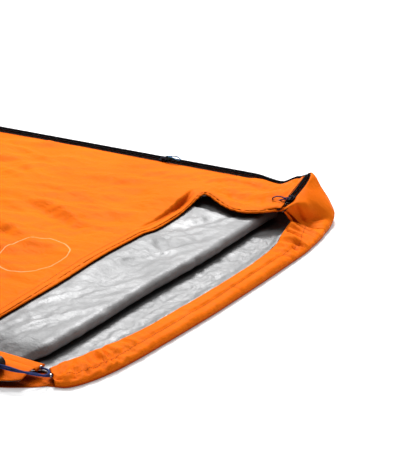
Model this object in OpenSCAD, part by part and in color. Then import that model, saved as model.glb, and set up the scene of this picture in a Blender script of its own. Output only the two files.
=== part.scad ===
// Rectangular one-person bivy sack, lying flat with its mouth open at the head end.
// X runs from the foot to the head, Y from the closed side to the zipped side, Z is up.
// The origin is under the middle of the sack, on the surface that it lies on.

/* [Sack] */
// Length from the foot seam to the head edge
sack_l = 2130; // [2000:10:2200]
// Width across the floor
sack_w = 810; // [780:10:860]
// Thickness of the coated shell fabric, as modelled
shell_t = 1.6; // [1.2:0.1:2]
// Thickness of the reflective lining film, as modelled
film_t = 1; // [0.8:0.1:1.2]
// Height of the zipped side wall
side_h = 42; // [38:1:48]
// Extra height of the middle of the top panel
crown_h = 9; // [0:1:16]

/* [Mouth] */
// Width of the drawcord channel round the top edge of the mouth
top_hem_w = 20; // [16:1:24]
// Width of the padded-looking rim along the head edge
rim_w = 30; // [26:1:34]
// Height of that rim
rim_h = 14; // [10:1:15]
// Height of the fold in the floor lining
pleat_h = 26; // [18:1:27]

/* [Zip] */
// Width of each zip tape that shows outside its coil
tape_w = 2.6; // [2:0.1:3]
// Radius of one side's coil
coil_r = 1.2; // [1:0.1:1.2]
// How far the zip on the long side leans in towards the sack, in degrees
zip_roll = 25; // [15:1:30]
// Drawcord diameter
drawcord_d = 2.8; // [2:0.2:3]
// Pull cord diameter
pull_cord_d = 1.8; // [1.4:0.2:2]

/* [Hidden] */

fabric_orange = [1, 0.45, 0.06];
film_silver = [0.78, 0.78, 0.8];
zip_black = [0.06, 0.06, 0.07];
cord_navy = [0.12, 0.2, 0.45];
slider_grey = [0.2, 0.21, 0.23];

head_x = sack_l / 2;
half_w = sack_w / 2;
// Corner radii of the floor: closed side of the head, zipped side of the head, foot
head_left_r = 170;
head_right_r = 62;
foot_r = 40;
// The clear gap left between neighbouring soft pieces
gap = 0.8;

// Mouth: the top shell's cut edges, and the channel's centre line inside them
mouth_x = head_x - 224;
mouth_right_y = half_w - 129;
mouth_left_y = -half_w + 53;
hem_in = top_hem_w / 2 + gap;
edge_h = 9;

// Zip line: side leg at constant height, then over the corner, then down to the mouth
zip_y = half_w - 15;
zip_foot_x = -head_x + 735;
coil_y = 2.2;
tape_in = coil_y + coil_r + 0.1;
tape_out = tape_in + tape_w;
shell_zip_y = zip_y - tape_out * cos(zip_roll) - gap;
corner_r = 26;
leg_top = [head_x - 71, zip_y - corner_r, side_h + 21];
leg_end = [head_x - 67, zip_y - 118, side_h - 3];
leg_v = leg_end - leg_top;
leg_len = norm(leg_v);
leg_yaw = atan2(leg_v[1], leg_v[0]);
leg_pitch = asin(-leg_v[2] / leg_len);
corner_x = leg_top[0] - corner_r;
// The top panel's straight end beside that leg
strip_end_x = leg_top[0] - tape_out - gap - 0.3;

// Sliders: places along the zip
head_slider_at = 60;
head_stop_at = 71.5;
foot_slider_x = head_x - 358;

function clamp01(t) = min(1, max(0, t));
function smooth(t) = let (c = clamp01(t)) c * c * (3 - 2 * c);
function mix(a, b, t) = a + (b - a) * t;
function unit(v) = v / norm(v);
function spread(a, b, n) = [for (i = [0 : n]) mix(a, b, i / n)];
function tail(list) = [for (i = [1 : len(list) - 1]) list[i]];

// ---- Heights -------------------------------------------------------------

// Height of the zip line above the ground at a place along the side
function zip_side_z(x) =
    side_h - 5.5 * smooth((x - head_x + 185) / 50) + 15.5 * smooth((x - head_x + 135) / 38);

// Its height round the corner, by the angle turned
function corner_z(a) = side_h + 10 + 11 * sin(a) + 5 * sin(2 * a);

// Height of the zip line along its leg across the head corner
function leg_z(y) = mix(leg_top[2], leg_end[2], (y - leg_top[1]) / (leg_end[1] - leg_top[1]));

function left_rise(y) = smooth((y + half_w) / 110);
function foot_rise(x) = smooth((x + head_x) / 170);

function crown(x, y) =
    crown_h * sin(180 * clamp01((y + half_w) / (half_w + zip_y)))
        * foot_rise(x) * (1 - smooth((x - head_x + 560) / 330));

// The top panel sinks towards the middle of the mouth
function lip_drop(x, y) =
    13 * smooth((x - head_x + 420) / 200) * (1 - smooth((y - 120) / 140)) * left_rise(y);

function body_z(x, y) =
    edge_h + (side_h - edge_h) * left_rise(y) * foot_rise(x) + crown(x, y) - lip_drop(x, y);

// The strip between the mouth and the zip, which climbs to the peak of the corner
function zip_edge_z(x) =
    x < corner_x ? zip_side_z(x) : corner_z(asin(clamp01((x - corner_x) / corner_r)));
function strip_z(x, y) =
    let (a = smooth((y - mouth_right_y) / (shell_zip_y - mouth_right_y)))
    let (along = mix(side_h - 3, zip_edge_z(x), a))
    let (to_leg = smooth((x - head_x + 165) / 70) * (1 - smooth((y - shell_zip_y + 50) / 50)))
    mix(along, leg_z(min(y, leg_top[1])), to_leg) - 3.2;

// Top face of the top shell
function top_z(x, y) =
    y > mouth_right_y - 1
        ? mix(body_z(x, y), strip_z(x, y), smooth((x - head_x + 300) / 110))
        : body_z(x, y);

// ---- Builders ------------------------------------------------------------

// A closed sheet from two grids of points. keep[i][j] says which cells exist.
module grid_sheet(upper, lower, keep) {
    ni = len(upper);
    nj = len(upper[0]);
    count = ni * nj;
    function on(i, j) = i >= 0 && j >= 0 && i < ni - 1 && j < nj - 1 && keep[i][j];
    function top(i, j) = i * nj + j;
    function low(i, j) = count + i * nj + j;
    function wall(pi, pj, qi, qj) =
        [[low(pi, pj), top(pi, pj), top(qi, qj)], [low(pi, pj), top(qi, qj), low(qi, qj)]];
    points = [for (row = upper) for (p = row) p, for (row = lower) for (p = row) p];
    faces = [for (i = [0 : ni - 2]) for (j = [0 : nj - 2]) if (on(i, j)) each concat(
        [[top(i, j), top(i, j + 1), top(i + 1, j + 1)]],
        [[top(i, j), top(i + 1, j + 1), top(i + 1, j)]],
        [[low(i, j), low(i + 1, j), low(i + 1, j + 1)]],
        [[low(i, j), low(i + 1, j + 1), low(i, j + 1)]],
        on(i, j - 1) ? [] : wall(i, j, i + 1, j),
        on(i + 1, j) ? [] : wall(i + 1, j, i + 1, j + 1),
        on(i, j + 1) ? [] : wall(i + 1, j + 1, i, j + 1),
        on(i - 1, j) ? [] : wall(i, j + 1, i, j))];
    polyhedron(points = points, faces = faces, convexity = 6);
}

// The grid moved against its own normals by a thickness
function offset_grid(grid, t) =
    let (ni = len(grid), nj = len(grid[0]))
    [for (i = [0 : ni - 1]) [for (j = [0 : nj - 1])
        let (along = grid[min(i + 1, ni - 1)][j] - grid[max(i - 1, 0)][j])
        let (across = grid[i][min(j + 1, nj - 1)] - grid[i][max(j - 1, 0)])
        grid[i][j] - unit(cross(along, across)) * t]];

function all_cells(grid) = [for (row = grid) [for (p = row) true]];

// Places along a path and the two directions across it, level and upright
function side_dir(path, i) =
    let (n = len(path) - 1)
    unit(cross([0, 0, 1], path[min(i + 1, n)] - path[max(i - 1, 0)]));
function up_dir(path, i) =
    let (n = len(path) - 1)
    unit(cross(path[min(i + 1, n)] - path[max(i - 1, 0)], side_dir(path, i)));

function rolled(s, roll) = [s[0] * cos(roll) - s[1] * sin(roll), s[0] * sin(roll) + s[1] * cos(roll)];
function rings(path, section, rolls) =
    [for (i = [0 : len(path) - 1]) for (s = section)
        let (r = rolled(s, is_undef(rolls) ? 0 : rolls[i]))
        path[i] + side_dir(path, i) * r[0] + up_dir(path, i) * r[1]];

function skin(rows, n, base) =
    [for (k = [0 : rows - 2]) for (m = [0 : n - 1])
        let (a = base + k * n + m, b = base + k * n + (m + 1) % n)
        each [[a, a + n, b + n], [a, b + n, b]]];

function flipped(faces) = [for (f = faces) [f[2], f[1], f[0]]];

// A closed section, [side, up] points in turn, carried along a path and leaned by an angle at each place
module sweep(path, section, rolls) {
    n = len(section);
    rows = len(path);
    last = (rows - 1) * n;
    polyhedron(points = rings(path, section, rolls), faces = concat(
        skin(rows, n, 0),
        [[for (m = [0 : n - 1]) m]],
        [[for (m = [0 : n - 1]) last + n - 1 - m]]), convexity = 6);
}

// The same with a hollow of a second section right through it
module hollow_sweep(path, outer, inner) {
    n = len(outer);
    rows = len(path);
    base = rows * n;
    last = (rows - 1) * n;
    polyhedron(points = concat(rings(path, outer), rings(path, inner)), faces = concat(
        skin(rows, n, 0),
        flipped(skin(rows, n, base)),
        [for (m = [0 : n - 1]) let (q = (m + 1) % n)
            each [[m, q, base + q], [m, base + q, base + m]]],
        [for (m = [0 : n - 1]) let (q = (m + 1) % n)
            each [[last + m, base + last + m, base + last + q], [last + m, base + last + q, last + q]]]
        ), convexity = 8);
}

function oval(w, h, n) = [for (i = [0 : n - 1]) [w / 2 * cos(360 * i / n), h / 2 * sin(360 * i / n)]];
function box_section(a0, a1, b0, b1) = [[a0, b0], [a1, b0], [a1, b1], [a0, b1]];

// A smooth curve through hand-chosen points
function spline_at(p0, p1, p2, p3, t) =
    0.5 * ((2 * p1) + (p2 - p0) * t + (2 * p0 - 5 * p1 + 4 * p2 - p3) * t * t
        + (3 * p1 - p0 - 3 * p2 + p3) * t * t * t);
function spline(pts, n) =
    let (last = len(pts) - 1)
    [for (i = [0 : last - 1]) for (k = [0 : n - 1])
        spline_at(pts[max(i - 1, 0)], pts[i], pts[i + 1], pts[min(i + 2, last)], k / n),
        pts[last]];

// ---- Fabric --------------------------------------------------------------

module floor_outline(inset) {
    offset(delta = -inset) hull() {
        translate([head_x - head_left_r, -half_w + head_left_r]) circle(r = head_left_r, $fn = 32);
        translate([head_x - head_right_r, half_w - head_right_r]) circle(r = head_right_r, $fn = 32);
        translate([-head_x + foot_r, -half_w + foot_r]) circle(r = foot_r, $fn = 32);
        translate([-head_x + foot_r, half_w - foot_r]) circle(r = foot_r, $fn = 32);
    }
}

module floor_shell() {
    color(fabric_orange) linear_extrude(shell_t) floor_outline(0);
}

// Side to side limits of the floor lining at a place along the sack
function lining_y0(x) =
    -half_w + 14 + 62 * smooth((x - head_x + 170) / 100) + 82 * smooth((x - head_x + 84) / 50);
function lining_y1(x) = half_w - 16 - 40 * smooth((x - head_x + 110) / 90);

// The lining's section: flat, up to the fold's crest, back under it and out to the rim
crest_x = head_x - 99;
pleat_profile = [
    [-head_x + 12, 2.8], [-head_x + 350, 2.8], [-head_x + 900, 2.8], [-head_x + 1500, 2.8],
    [crest_x - 190, 3.2], [crest_x - 152, 9.5], [crest_x - 106, pleat_h - 8], [crest_x - 60, pleat_h - 5.5],
    [crest_x - 26, pleat_h - 3], [crest_x - 6, pleat_h], [crest_x, pleat_h - 3], [crest_x + 2, pleat_h - 9],
    [crest_x, pleat_h - 15], [crest_x - 9, 7.5], [crest_x - 18, 5.4], [crest_x - 10, 3.6],
    [crest_x + 20, 3.2], [crest_x + 46, 4.6], [crest_x + 60, 7.5], [crest_x + 65, 10.5]];
pleat_n = len(pleat_profile) - 1;

function lining_point(i, s) =
    let (p = pleat_profile[i])
    let (y = mix(lining_y0(p[0]), lining_y1(p[0]), s))
    let (k = smooth((y + half_w - 60) / 60) * smooth((half_w - 85 - y) / 70))
    let (flat_x = i < 4 ? p[0] : mix(pleat_profile[4][0], pleat_profile[pleat_n][0],
        (i - 4) / (pleat_n - 4)))
    [mix(flat_x, p[0], k), y, mix(2.8, p[1], k)];

module floor_lining() {
    grid = [for (i = [0 : pleat_n]) [for (s = spread(0, 1, 20)) lining_point(i, s)]];
    color(film_silver) grid_sheet(grid, offset_grid(grid, film_t * 0.9), all_cells(grid));
}

grid_xs = concat(spread(-head_x + 2, -head_x + 172, 5), tail(spread(-head_x + 172, zip_foot_x - 16, 5)),
    tail(spread(zip_foot_x - 16, head_x - 420, 8)), tail(spread(head_x - 420, mouth_x, 6)),
    tail(spread(mouth_x, strip_end_x, 6)));
// Beyond the foot end of the zip the top panel runs on to meet the side panel
panel_edge = tape_out + 1.6;
shell_side_y = zip_y + panel_edge * cos(zip_roll) - shell_t - gap - 0.4;
grid_ys = concat(spread(-half_w + 2, mouth_left_y, 4), tail(spread(mouth_left_y, mouth_right_y, 12)),
    tail(spread(mouth_right_y, shell_zip_y, 4)), [shell_side_y]);

// The foot end draws in a little at its corners
function foot_pull(x) = 1 - 0.03 * (1 - smooth((x + head_x) / 90));

// The closed side's edge, which turns in at the head corner
function left_edge_y(x) =
    let (past = max(0, x - head_x + head_left_r))
    -half_w + 2 + head_left_r - sqrt(pow(head_left_r, 2) - pow(past, 2));

// One layer of the top panel, cut back round the mouth and along the zip
module top_layer(drop, t, inset) {
    x_low = -head_x + 2 + inset;
    x_high = strip_end_x - inset;
    y_low = grid_ys[0];
    function at(x, y) =
        let (cx = x > mouth_x + 1 ? min(x, x_high) : x < mouth_x - 1 ? max(x, x_low) : mouth_x - inset)
        let (cy = y < mouth_left_y + 1
                ? mix(left_edge_y(cx) + inset, mouth_left_y - inset, (y - y_low) / (mouth_left_y - y_low))
            : y < mouth_right_y - 1 ? y : y < mouth_right_y + 1 ? y + inset
            : y < shell_zip_y - 1 ? y : y - inset)
        [cx, cy * foot_pull(cx), top_z(cx, cy) - drop];
    upper = [for (x = grid_xs) [for (y = grid_ys) at(x, y)]];
    lower = [for (row = upper) [for (p = row) p - [0, 0, t]]];
    keep = [for (i = [0 : len(grid_xs) - 2]) [for (j = [0 : len(grid_ys) - 2])
        let (x = (grid_xs[i] + grid_xs[i + 1]) / 2, y = (grid_ys[j] + grid_ys[j + 1]) / 2)
        (x < mouth_x || y < mouth_left_y || y > mouth_right_y)
            && (y < shell_zip_y || x < zip_foot_x - 16)]];
    grid_sheet(upper, lower, keep);
}

module top_shell() {
    color(fabric_orange) top_layer(0, shell_t, 0);
}

module top_lining() {
    color(film_silver) top_layer(shell_t + 2 * gap, film_t, 8);
}

// Zipped side: from the floor's edge up to the zip, round the head corner
function edge_lift(a) = panel_edge * sin(zip_roll * (1 - a / 90));
function side_station(k) =
    k < 9 ? let (x = mix(-head_x + 34, corner_x, k / 8))
        [[x, half_w - 2.5, 2.6],
         [x, zip_y + panel_edge * cos(zip_roll), zip_side_z(x) * foot_rise(x + 60) + edge_lift(0)], 1.5]
    : let (a = min(90, (k - 8) * 90 / 7), run = max(0, k - 15) / 3)
      let (floor_r = head_right_r - 4)
      let (top_y = zip_y - corner_r + (corner_r + panel_edge) * cos(a) - 84 * run)
      [[head_x - head_right_r + floor_r * sin(a),
        half_w - head_right_r + floor_r * cos(a) - 60 * run, 2.6],
       [corner_x + (corner_r + panel_edge) * sin(a) + 3.7 * run, top_y,
        (run > 0 ? leg_z(top_y) : corner_z(a)) + edge_lift(a)],
       1.5 + 14 * sin(a)];

module side_panel() {
    upper = [for (k = [0 : 18]) let (s = side_station(k), out = unit([s[0][0] - s[1][0],
            s[0][1] - s[1][1] + 0.01, 0])) [for (v = spread(0, 1, 6))
        mix(s[0], s[1], v) + (out * 0.9 + [0, 0, 0.45]) * s[2] * sin(180 * v)]];
    color(fabric_orange)
        grid_sheet(offset_grid(upper, -0.1), offset_grid(upper, shell_t - 0.1), all_cells(upper));
}

// A narrow binding folded over a raw edge
module binding(route) {
    color(fabric_orange) sweep(route, box_section(-1.4, 1.4, -2.6, 2.6));
}

module side_seam_binding() {
    binding([for (x = spread(-head_x + 60, head_x - 160, 12)) [x, -half_w + 3.6, 4.6]]);
}

module foot_seam_binding() {
    binding([for (y = spread(half_w - 62, -half_w + 62, 8)) [-head_x + 1.5, y, 4.6]]);
}

// ---- Mouth ---------------------------------------------------------------

hem_right_y = mouth_right_y - hem_in;
hem_left_y = mouth_left_y + hem_in;
hem_far_x = mouth_x + hem_in;
top_hem_route = [
    [985, hem_right_y, 36], [960, hem_right_y, 36], [925, hem_right_y, 36],
    [890, hem_right_y, 39], [866, hem_right_y - 5, 42], [hem_far_x, hem_right_y - 20, 42],
    [hem_far_x, 200, 38], [hem_far_x, 100, 31.5], [hem_far_x, -60, 29],
    [hem_far_x, -220, 27], [hem_far_x, -300, 24], [hem_far_x + 8, -328, 20],
    [885, hem_left_y, 17], [930, hem_left_y, 15.5], [984, hem_left_y, 14]];

rim_mid_x = head_x - rim_w / 2 - 1;
rim_route = [
    [1006, -345, 9.4], [1018.5, -331.5, 9.4], [1031.5, -309, 9.4], [1042, -280, 9.4],
    [rim_mid_x, -240, 9.4], [rim_mid_x, -120, 9.4], [rim_mid_x, 0, 9.4], [rim_mid_x, 120, 9.4],
    [rim_mid_x, 205, 9.4], [rim_mid_x - 1, 232, 11.5], [rim_mid_x - 8, 250, 19],
    [rim_mid_x - 21, 259, 29], [rim_mid_x - 34, 260, 35]];

hem_side = 1.2;

module mouth_hem_top() {
    color(fabric_orange) hollow_sweep(spline(top_hem_route, 3),
        oval(top_hem_w, 8, 12), oval(top_hem_w - 2 * hem_side, 8 - 2 * hem_side, 12));
}

module mouth_hem_floor() {
    color(fabric_orange) hollow_sweep(spline(rim_route, 3),
        oval(rim_w, rim_h, 12), oval(rim_w - 2 * hem_side, rim_h - 2 * hem_side, 12));
}

// The drawcord's two ends leave the channels at the closed side and share the lock
lock_at = [944, -380, 23.5];
upper_strand = [
    [996, -342, 14], [1004, -349, 14.5], [1006, -360, 16], [998, -371, 19.5],
    [982, -378, 23], [966, -380, 25.1], [950, -380, 25.1], [930, -380, 25.1],
    [920, -379, 23], [912, -377, 19.5]];
rim_strand = [
    [908, -388, 15.5], [918, -384, 19], [930, -380, 21.9], [950, -380, 21.9], [966, -380, 21.9],
    [977, -377, 21], [986, -370, 19], [993, -361.5, 15.5], [998.5, -354.5, 11.3], [1002.6, -348.7, 9.4]];

module drawcord() {
    section = oval(drawcord_d, drawcord_d, 8);
    color(cord_navy) {
        sweep(spline(concat(top_hem_route, upper_strand), 2), section);
        sweep(spline(concat(rim_strand, rim_route), 2), section);
    }
}

// Rings that line the two ends of the channel
module drawcord_eyelets() {
    color(slider_grey) for (place = [[986.2, hem_left_y, 14, 0], [1004.3, -346.8, 9.4, 47]])
        translate([place[0], place[1], place[2]]) rotate([0, 0, place[3]]) rotate([0, 90, 0])
            translate([0, 0, -1]) difference() {
                cylinder(r = 3.2, h = 2, $fn = 32);
                translate([0, 0, -1]) cylinder(r = 1.9, h = 4, $fn = 32);
            }
}

// Cord lock: axis along Y, with the cords passing along X
lock_r = 8;
lock_bore_r = 5.6;
lock_len = 22;
plunger_r = 5.55;
lock_hole_r = 3.6;

module lock_axis() {
    translate(lock_at) rotate([90, 0, 0]) children();
}

module cord_lock_barrel() {
    color(zip_black) lock_axis() difference() {
        translate([0, 0, -lock_len / 2]) cylinder(r = lock_r, h = lock_len, $fn = 48);
        translate([0, 0, -lock_len / 2 + 2]) cylinder(r = lock_bore_r, h = lock_len, $fn = 48);
        rotate([0, 90, 0]) translate([0, 0, -lock_r - 1])
            cylinder(r = lock_hole_r, h = 2 * lock_r + 2, $fn = 32);
    }
}

module cord_lock_plunger() {
    color(slider_grey) lock_axis() difference() {
        union() {
            translate([0, 0, -3.8]) cylinder(r = plunger_r, h = 19, $fn = 48);
            translate([0, 0, 15.2]) cylinder(r1 = 7, r2 = 6.4, h = 2.4, $fn = 48);
        }
        hull() for (z = [0, 5]) translate([-lock_r, 0, z]) rotate([0, 90, 0])
            cylinder(r = lock_hole_r - 0.4, h = 2 * lock_r, $fn = 24);
    }
}

spring_turns = 3;
module cord_lock_spring() {
    wire = 0.25;
    pitch = 1.53;
    color("silver") translate(lock_at) rotate([90, 0, 0])
        sweep([for (k = [0 : spring_turns * 12]) let (a = k * 30)
            [4.2 * cos(a), 4.2 * sin(a), -lock_len / 2 + 2.3 + pitch * a / 360]],
            oval(2 * wire, 2 * wire, 6));
}

// ---- Zip -----------------------------------------------------------------

zip_side = concat(
    [for (x = spread(zip_foot_x, head_x - 185, 6)) [x, zip_y, side_h]],
    [for (x = tail(spread(head_x - 185, corner_x, 9))) [x, zip_y, zip_side_z(x)]]);
zip_corner = [for (a = [10 : 10 : 80])
    [corner_x + corner_r * sin(a), zip_y - corner_r + corner_r * cos(a), corner_z(a)]];

// The zip's line as far as a place on its head leg, and its lean at each point
function zip_line(leg_share) =
    concat(zip_side, zip_corner, [for (t = spread(0, leg_share, 2)) leg_top + leg_v * t]);
zip_rolls = concat([for (p = zip_side) zip_roll], [for (a = [10 : 10 : 80]) zip_roll * (1 - a / 90)],
    [0, 0, 0]);

// The upper tape is the mouth's side, and the lower one is sewn to the side panel
module tape(a0, a1) {
    color(zip_black) sweep(zip_line(1), box_section(a0, a1, -0.35, 0.35), zip_rolls);
}

module zip_tape_upper() {
    tape(-tape_out, -tape_in);
}

module zip_tape_lower() {
    tape(tape_in, tape_out);
}

module coil(side) {
    color(zip_black) sweep(zip_line(head_stop_at / leg_len),
        [for (s = oval(2 * coil_r, 2 * coil_r, 8)) [s[0] + side * coil_y, s[1]]], zip_rolls);
}

module zip_coil_upper() {
    coil(-1);
}

module zip_coil_lower() {
    coil(1);
}

// Sets children on the head leg, along it from its top, with X down the leg
module on_leg(along) {
    translate(leg_top + leg_v * along / leg_len) rotate([0, leg_pitch, leg_yaw]) children();
}

// Two separate stops at the mouth end, one on each coil
module zip_top_stops() {
    color("silver") on_leg(head_stop_at) for (side = [-1, 1])
        translate([0.05, side * coil_y - coil_r, -coil_r]) cube([2, 2 * coil_r - 0.1, 2 * coil_r]);
}

// One box over both coils at the foot end
module zip_bottom_stop() {
    color("silver") translate([zip_foot_x - 2.05, zip_y, side_h]) rotate([zip_roll, 0, 0])
        translate([0, -coil_y - coil_r, -coil_r]) cube([2, 2 * (coil_y + coil_r), 2 * coil_r]);
}

// ---- Sliders and pulls ---------------------------------------------------

slider_half = 6.5;
plate_z = 1.9;
plate_t = 1.1;
ear_x = 1.6;
bar_z = 5;
bar_r = 0.95;
tab_hole_x = 8.6;
eye_r = 2.4;

// A slider running along X on the zip: two plates, their flanges, the dividing post and the bridge
module slider() {
    color(slider_grey) {
        for (z = [plate_z, -plate_z - plate_t]) translate([0, 0, z]) linear_extrude(plate_t)
            hull() for (side = [-1, 1]) {
                translate([slider_half - 2.6, side * 2.3]) circle(r = 2.6, $fn = 32);
                translate([-slider_half + 1.5, side * 3.4]) circle(r = 1.5, $fn = 32);
            }
        for (side = [-1, 1]) for (z = [0.75, -plate_z])
            translate([-slider_half + 1.5, side > 0 ? 4 : -4.9, z])
                cube([2 * slider_half - 4.5, 0.9, plate_z - 0.75]);
        translate([slider_half - 1.4, 0, -plate_z]) cylinder(r = 0.65, h = 2 * plate_z, $fn = 24);
        for (y = [-3.2, 2.2]) translate([-ear_x, y, plate_z + plate_t])
            cube([2 * ear_x, 1, bar_z + 1.2 - plate_z - plate_t]);
        translate([0, 3.2, bar_z]) rotate([90, 0, 0]) cylinder(r = bar_r, h = 6.4, $fn = 32);
    }
}

// The tab that hinges on the slider's bar, pointing along X
module pull_tab() {
    color(slider_grey) difference() {
        union() {
            translate([0, 1.8, 0]) rotate([90, 0, 0]) cylinder(r = 1.75, h = 3.6, $fn = 32);
            translate([0, -1.8, -0.6]) cube([4, 3.6, 1.2]);
            translate([3, -2.7, -0.6]) cube([tab_hole_x - 3, 5.4, 1.2]);
            translate([tab_hole_x, 0, -0.6]) cylinder(r = 2.7, h = 1.2, $fn = 32);
        }
        translate([0, 3, 0]) rotate([90, 0, 0]) cylinder(r = bar_r + 0.05, h = 6, $fn = 32);
        translate([tab_hole_x, 0, -1]) cylinder(r = 1.5, h = 2, $fn = 32);
    }
}

// The cord's eye through the tab and the knot beside it, leaving the tab along X
module pull_knot() {
    color(cord_navy) {
        translate([eye_r, 0, 0]) rotate([90, 0, 0]) rotate_extrude($fn = 32)
            translate([eye_r, 0]) circle(r = pull_cord_d / 2, $fn = 16);
        translate([2 * eye_r + 1.6, 0, 0]) sphere(r = 2.2, $fn = 24);
    }
}

// The head pull's cord runs across the leg, in the slider's own directions
head_cord_route = [
    [8.6, -8.3, 6.1], [8.6, -11.3, 7.2], [8.7, -15.4, 7.6], [8.9, -19.5, 6.9], [9, -23.6, 5.2],
    [9, -26.9, 3], [8.9, -28.4, 0.9], [8.8, -26.9, -0.9], [8.7, -23.6, -1.2], [8.6, -19.5, -0.8],
    [8.6, -15.4, 0.6], [8.6, -11.3, 2.5], [8.6, -8.3, 3.9]];
foot_lift = 18;
foot_cord_route = [
    [16, 1.1, 10.2], [19.5, 1.6, 11], [23.5, 2.6, 10.9], [27.5, 3.2, 10], [31, 3, 8.8],
    [34, 1.9, 7.8], [35, 0, 7.5], [34, -1.9, 7.8], [31, -3, 8.8], [27.5, -3.2, 10],
    [23.5, -2.6, 10.9], [19.5, -1.6, 11], [16, -1.1, 10.2]];

leg_x = unit(leg_v);
leg_y = unit(cross([0, 0, 1], leg_x));
leg_up = cross(leg_x, leg_y);
function leg_place(p) =
    leg_top + leg_v * head_slider_at / leg_len + leg_x * p[0] + leg_y * p[1] + leg_up * p[2];

module head_slider() {
    on_leg(head_slider_at) slider();
}

module head_pull_tab() {
    on_leg(head_slider_at) translate([0, 0, bar_z]) pull_tab();
}

module head_pull_knot() {
    on_leg(head_slider_at) translate([tab_hole_x, 0, bar_z]) rotate([0, 0, -90]) pull_knot();
}

module head_pull_cord() {
    color(cord_navy) sweep(spline([for (p = head_cord_route) leg_place(p)], 3),
        oval(pull_cord_d, pull_cord_d, 8));
}

module at_foot_slider() {
    translate([foot_slider_x, zip_y, side_h]) rotate([zip_roll, 0, 0]) children();
}

module foot_slider() {
    at_foot_slider() slider();
}

module foot_pull_tab() {
    at_foot_slider() translate([0, 0, bar_z]) rotate([0, -foot_lift, 0]) pull_tab();
}

module foot_pull_knot() {
    at_foot_slider() translate([0, 0, bar_z]) rotate([0, -foot_lift, 0])
        translate([tab_hole_x, 0, 0]) pull_knot();
}

module foot_pull_cord() {
    at_foot_slider() color(cord_navy) sweep(spline(foot_cord_route, 3),
        oval(pull_cord_d, pull_cord_d, 8));
}

floor_shell();
floor_lining();
top_shell();
top_lining();
side_panel();
mouth_hem_top();
mouth_hem_floor();
side_seam_binding();
foot_seam_binding();
drawcord();
drawcord_eyelets();
cord_lock_barrel();
cord_lock_plunger();
cord_lock_spring();
zip_tape_upper();
zip_tape_lower();
zip_coil_upper();
zip_coil_lower();
zip_top_stops();
zip_bottom_stop();
head_slider();
head_pull_tab();
head_pull_knot();
head_pull_cord();
foot_slider();
foot_pull_tab();
foot_pull_knot();
foot_pull_cord();
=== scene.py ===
"""One-person bivy sack, lying flat with its mouth open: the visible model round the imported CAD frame.

Shapes are worked out in millimetres, in the frame's own axes, and go into Blender in metres.
X runs from the foot to the head, Y from the closed side to the zipped side, and Z is up.
"""

import math

import bmesh
import bpy
import numpy as np
from mathutils import Matrix, Vector


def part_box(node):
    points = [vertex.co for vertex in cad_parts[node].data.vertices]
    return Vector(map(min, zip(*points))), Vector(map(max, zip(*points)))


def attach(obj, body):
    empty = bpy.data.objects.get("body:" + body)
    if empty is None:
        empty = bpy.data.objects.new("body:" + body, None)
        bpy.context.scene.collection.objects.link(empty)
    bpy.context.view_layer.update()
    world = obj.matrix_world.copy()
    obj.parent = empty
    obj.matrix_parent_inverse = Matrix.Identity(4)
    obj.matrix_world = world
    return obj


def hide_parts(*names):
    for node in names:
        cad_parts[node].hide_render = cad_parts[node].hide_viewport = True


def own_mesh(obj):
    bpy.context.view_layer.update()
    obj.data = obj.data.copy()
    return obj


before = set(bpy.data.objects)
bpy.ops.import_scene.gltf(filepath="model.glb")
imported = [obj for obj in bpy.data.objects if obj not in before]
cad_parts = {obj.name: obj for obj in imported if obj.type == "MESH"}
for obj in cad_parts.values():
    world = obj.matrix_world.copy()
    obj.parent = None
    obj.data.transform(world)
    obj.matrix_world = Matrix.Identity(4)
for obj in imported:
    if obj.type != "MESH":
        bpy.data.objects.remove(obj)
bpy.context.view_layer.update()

MM = 0.001
SACK = "sack"


def box_mm(node):
    """Lowest and highest corner of a CAD node, in millimetres."""
    low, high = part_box(node)
    return np.array(low) / MM, np.array(high) / MM


FLOOR_LOW, FLOOR_HIGH = box_mm("floor_shell")
HEAD_X = FLOOR_HIGH[0]
FOOT_X = FLOOR_LOW[0]
HALF_W = FLOOR_HIGH[1]

# ---- Camera ----

AIM_MM = (1065, 250, 0)  # the head edge, left of the zipped corner
AZIMUTH, ELEVATION = 31, 20
DISTANCE = 2.45
LENS, SENSOR = 128, 36
AIM_RIGHT, AIM_DOWN = 0.0706, 0.0134  # where that point stands in the view, as slopes


def make_camera():
    """The camera, at its distance and angle from the point that it is aimed by."""
    a, e = math.radians(AZIMUTH), math.radians(ELEVATION)
    back = Vector((math.sin(a) * math.cos(e), -math.cos(a) * math.cos(e), math.sin(e)))
    right = Vector((math.cos(a), math.sin(a), 0))
    up = back.cross(right)
    data = bpy.data.cameras.new("camera")
    data.lens, data.sensor_width, data.sensor_fit = LENS, SENSOR, "AUTO"
    camera = bpy.data.objects.new("camera", data)
    bpy.context.scene.collection.objects.link(camera)
    place = Vector(AIM_MM) * MM + DISTANCE * (back - AIM_RIGHT * right + AIM_DOWN * up)
    turn = Matrix((right, up, back)).transposed().to_4x4()
    camera.matrix_world = Matrix.Translation(place) @ turn
    bpy.context.scene.camera = camera


make_camera()

# ---- Small tools ----


def smooth(t):
    """0 up to t = 0 and 1 from t = 1, with an even curve between."""
    t = np.clip(t, 0.0, 1.0)
    return t * t * (3 - 2 * t)


def mix(a, b, t):
    """a at t = 0 and b at t = 1."""
    return a + (b - a) * t


def window(v, start, full, fall, end):
    """0 before start, 1 from full to fall, and 0 again after end."""
    return smooth((v - start) / (full - start)) * (1 - smooth((v - fall) / (end - fall)))


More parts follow.
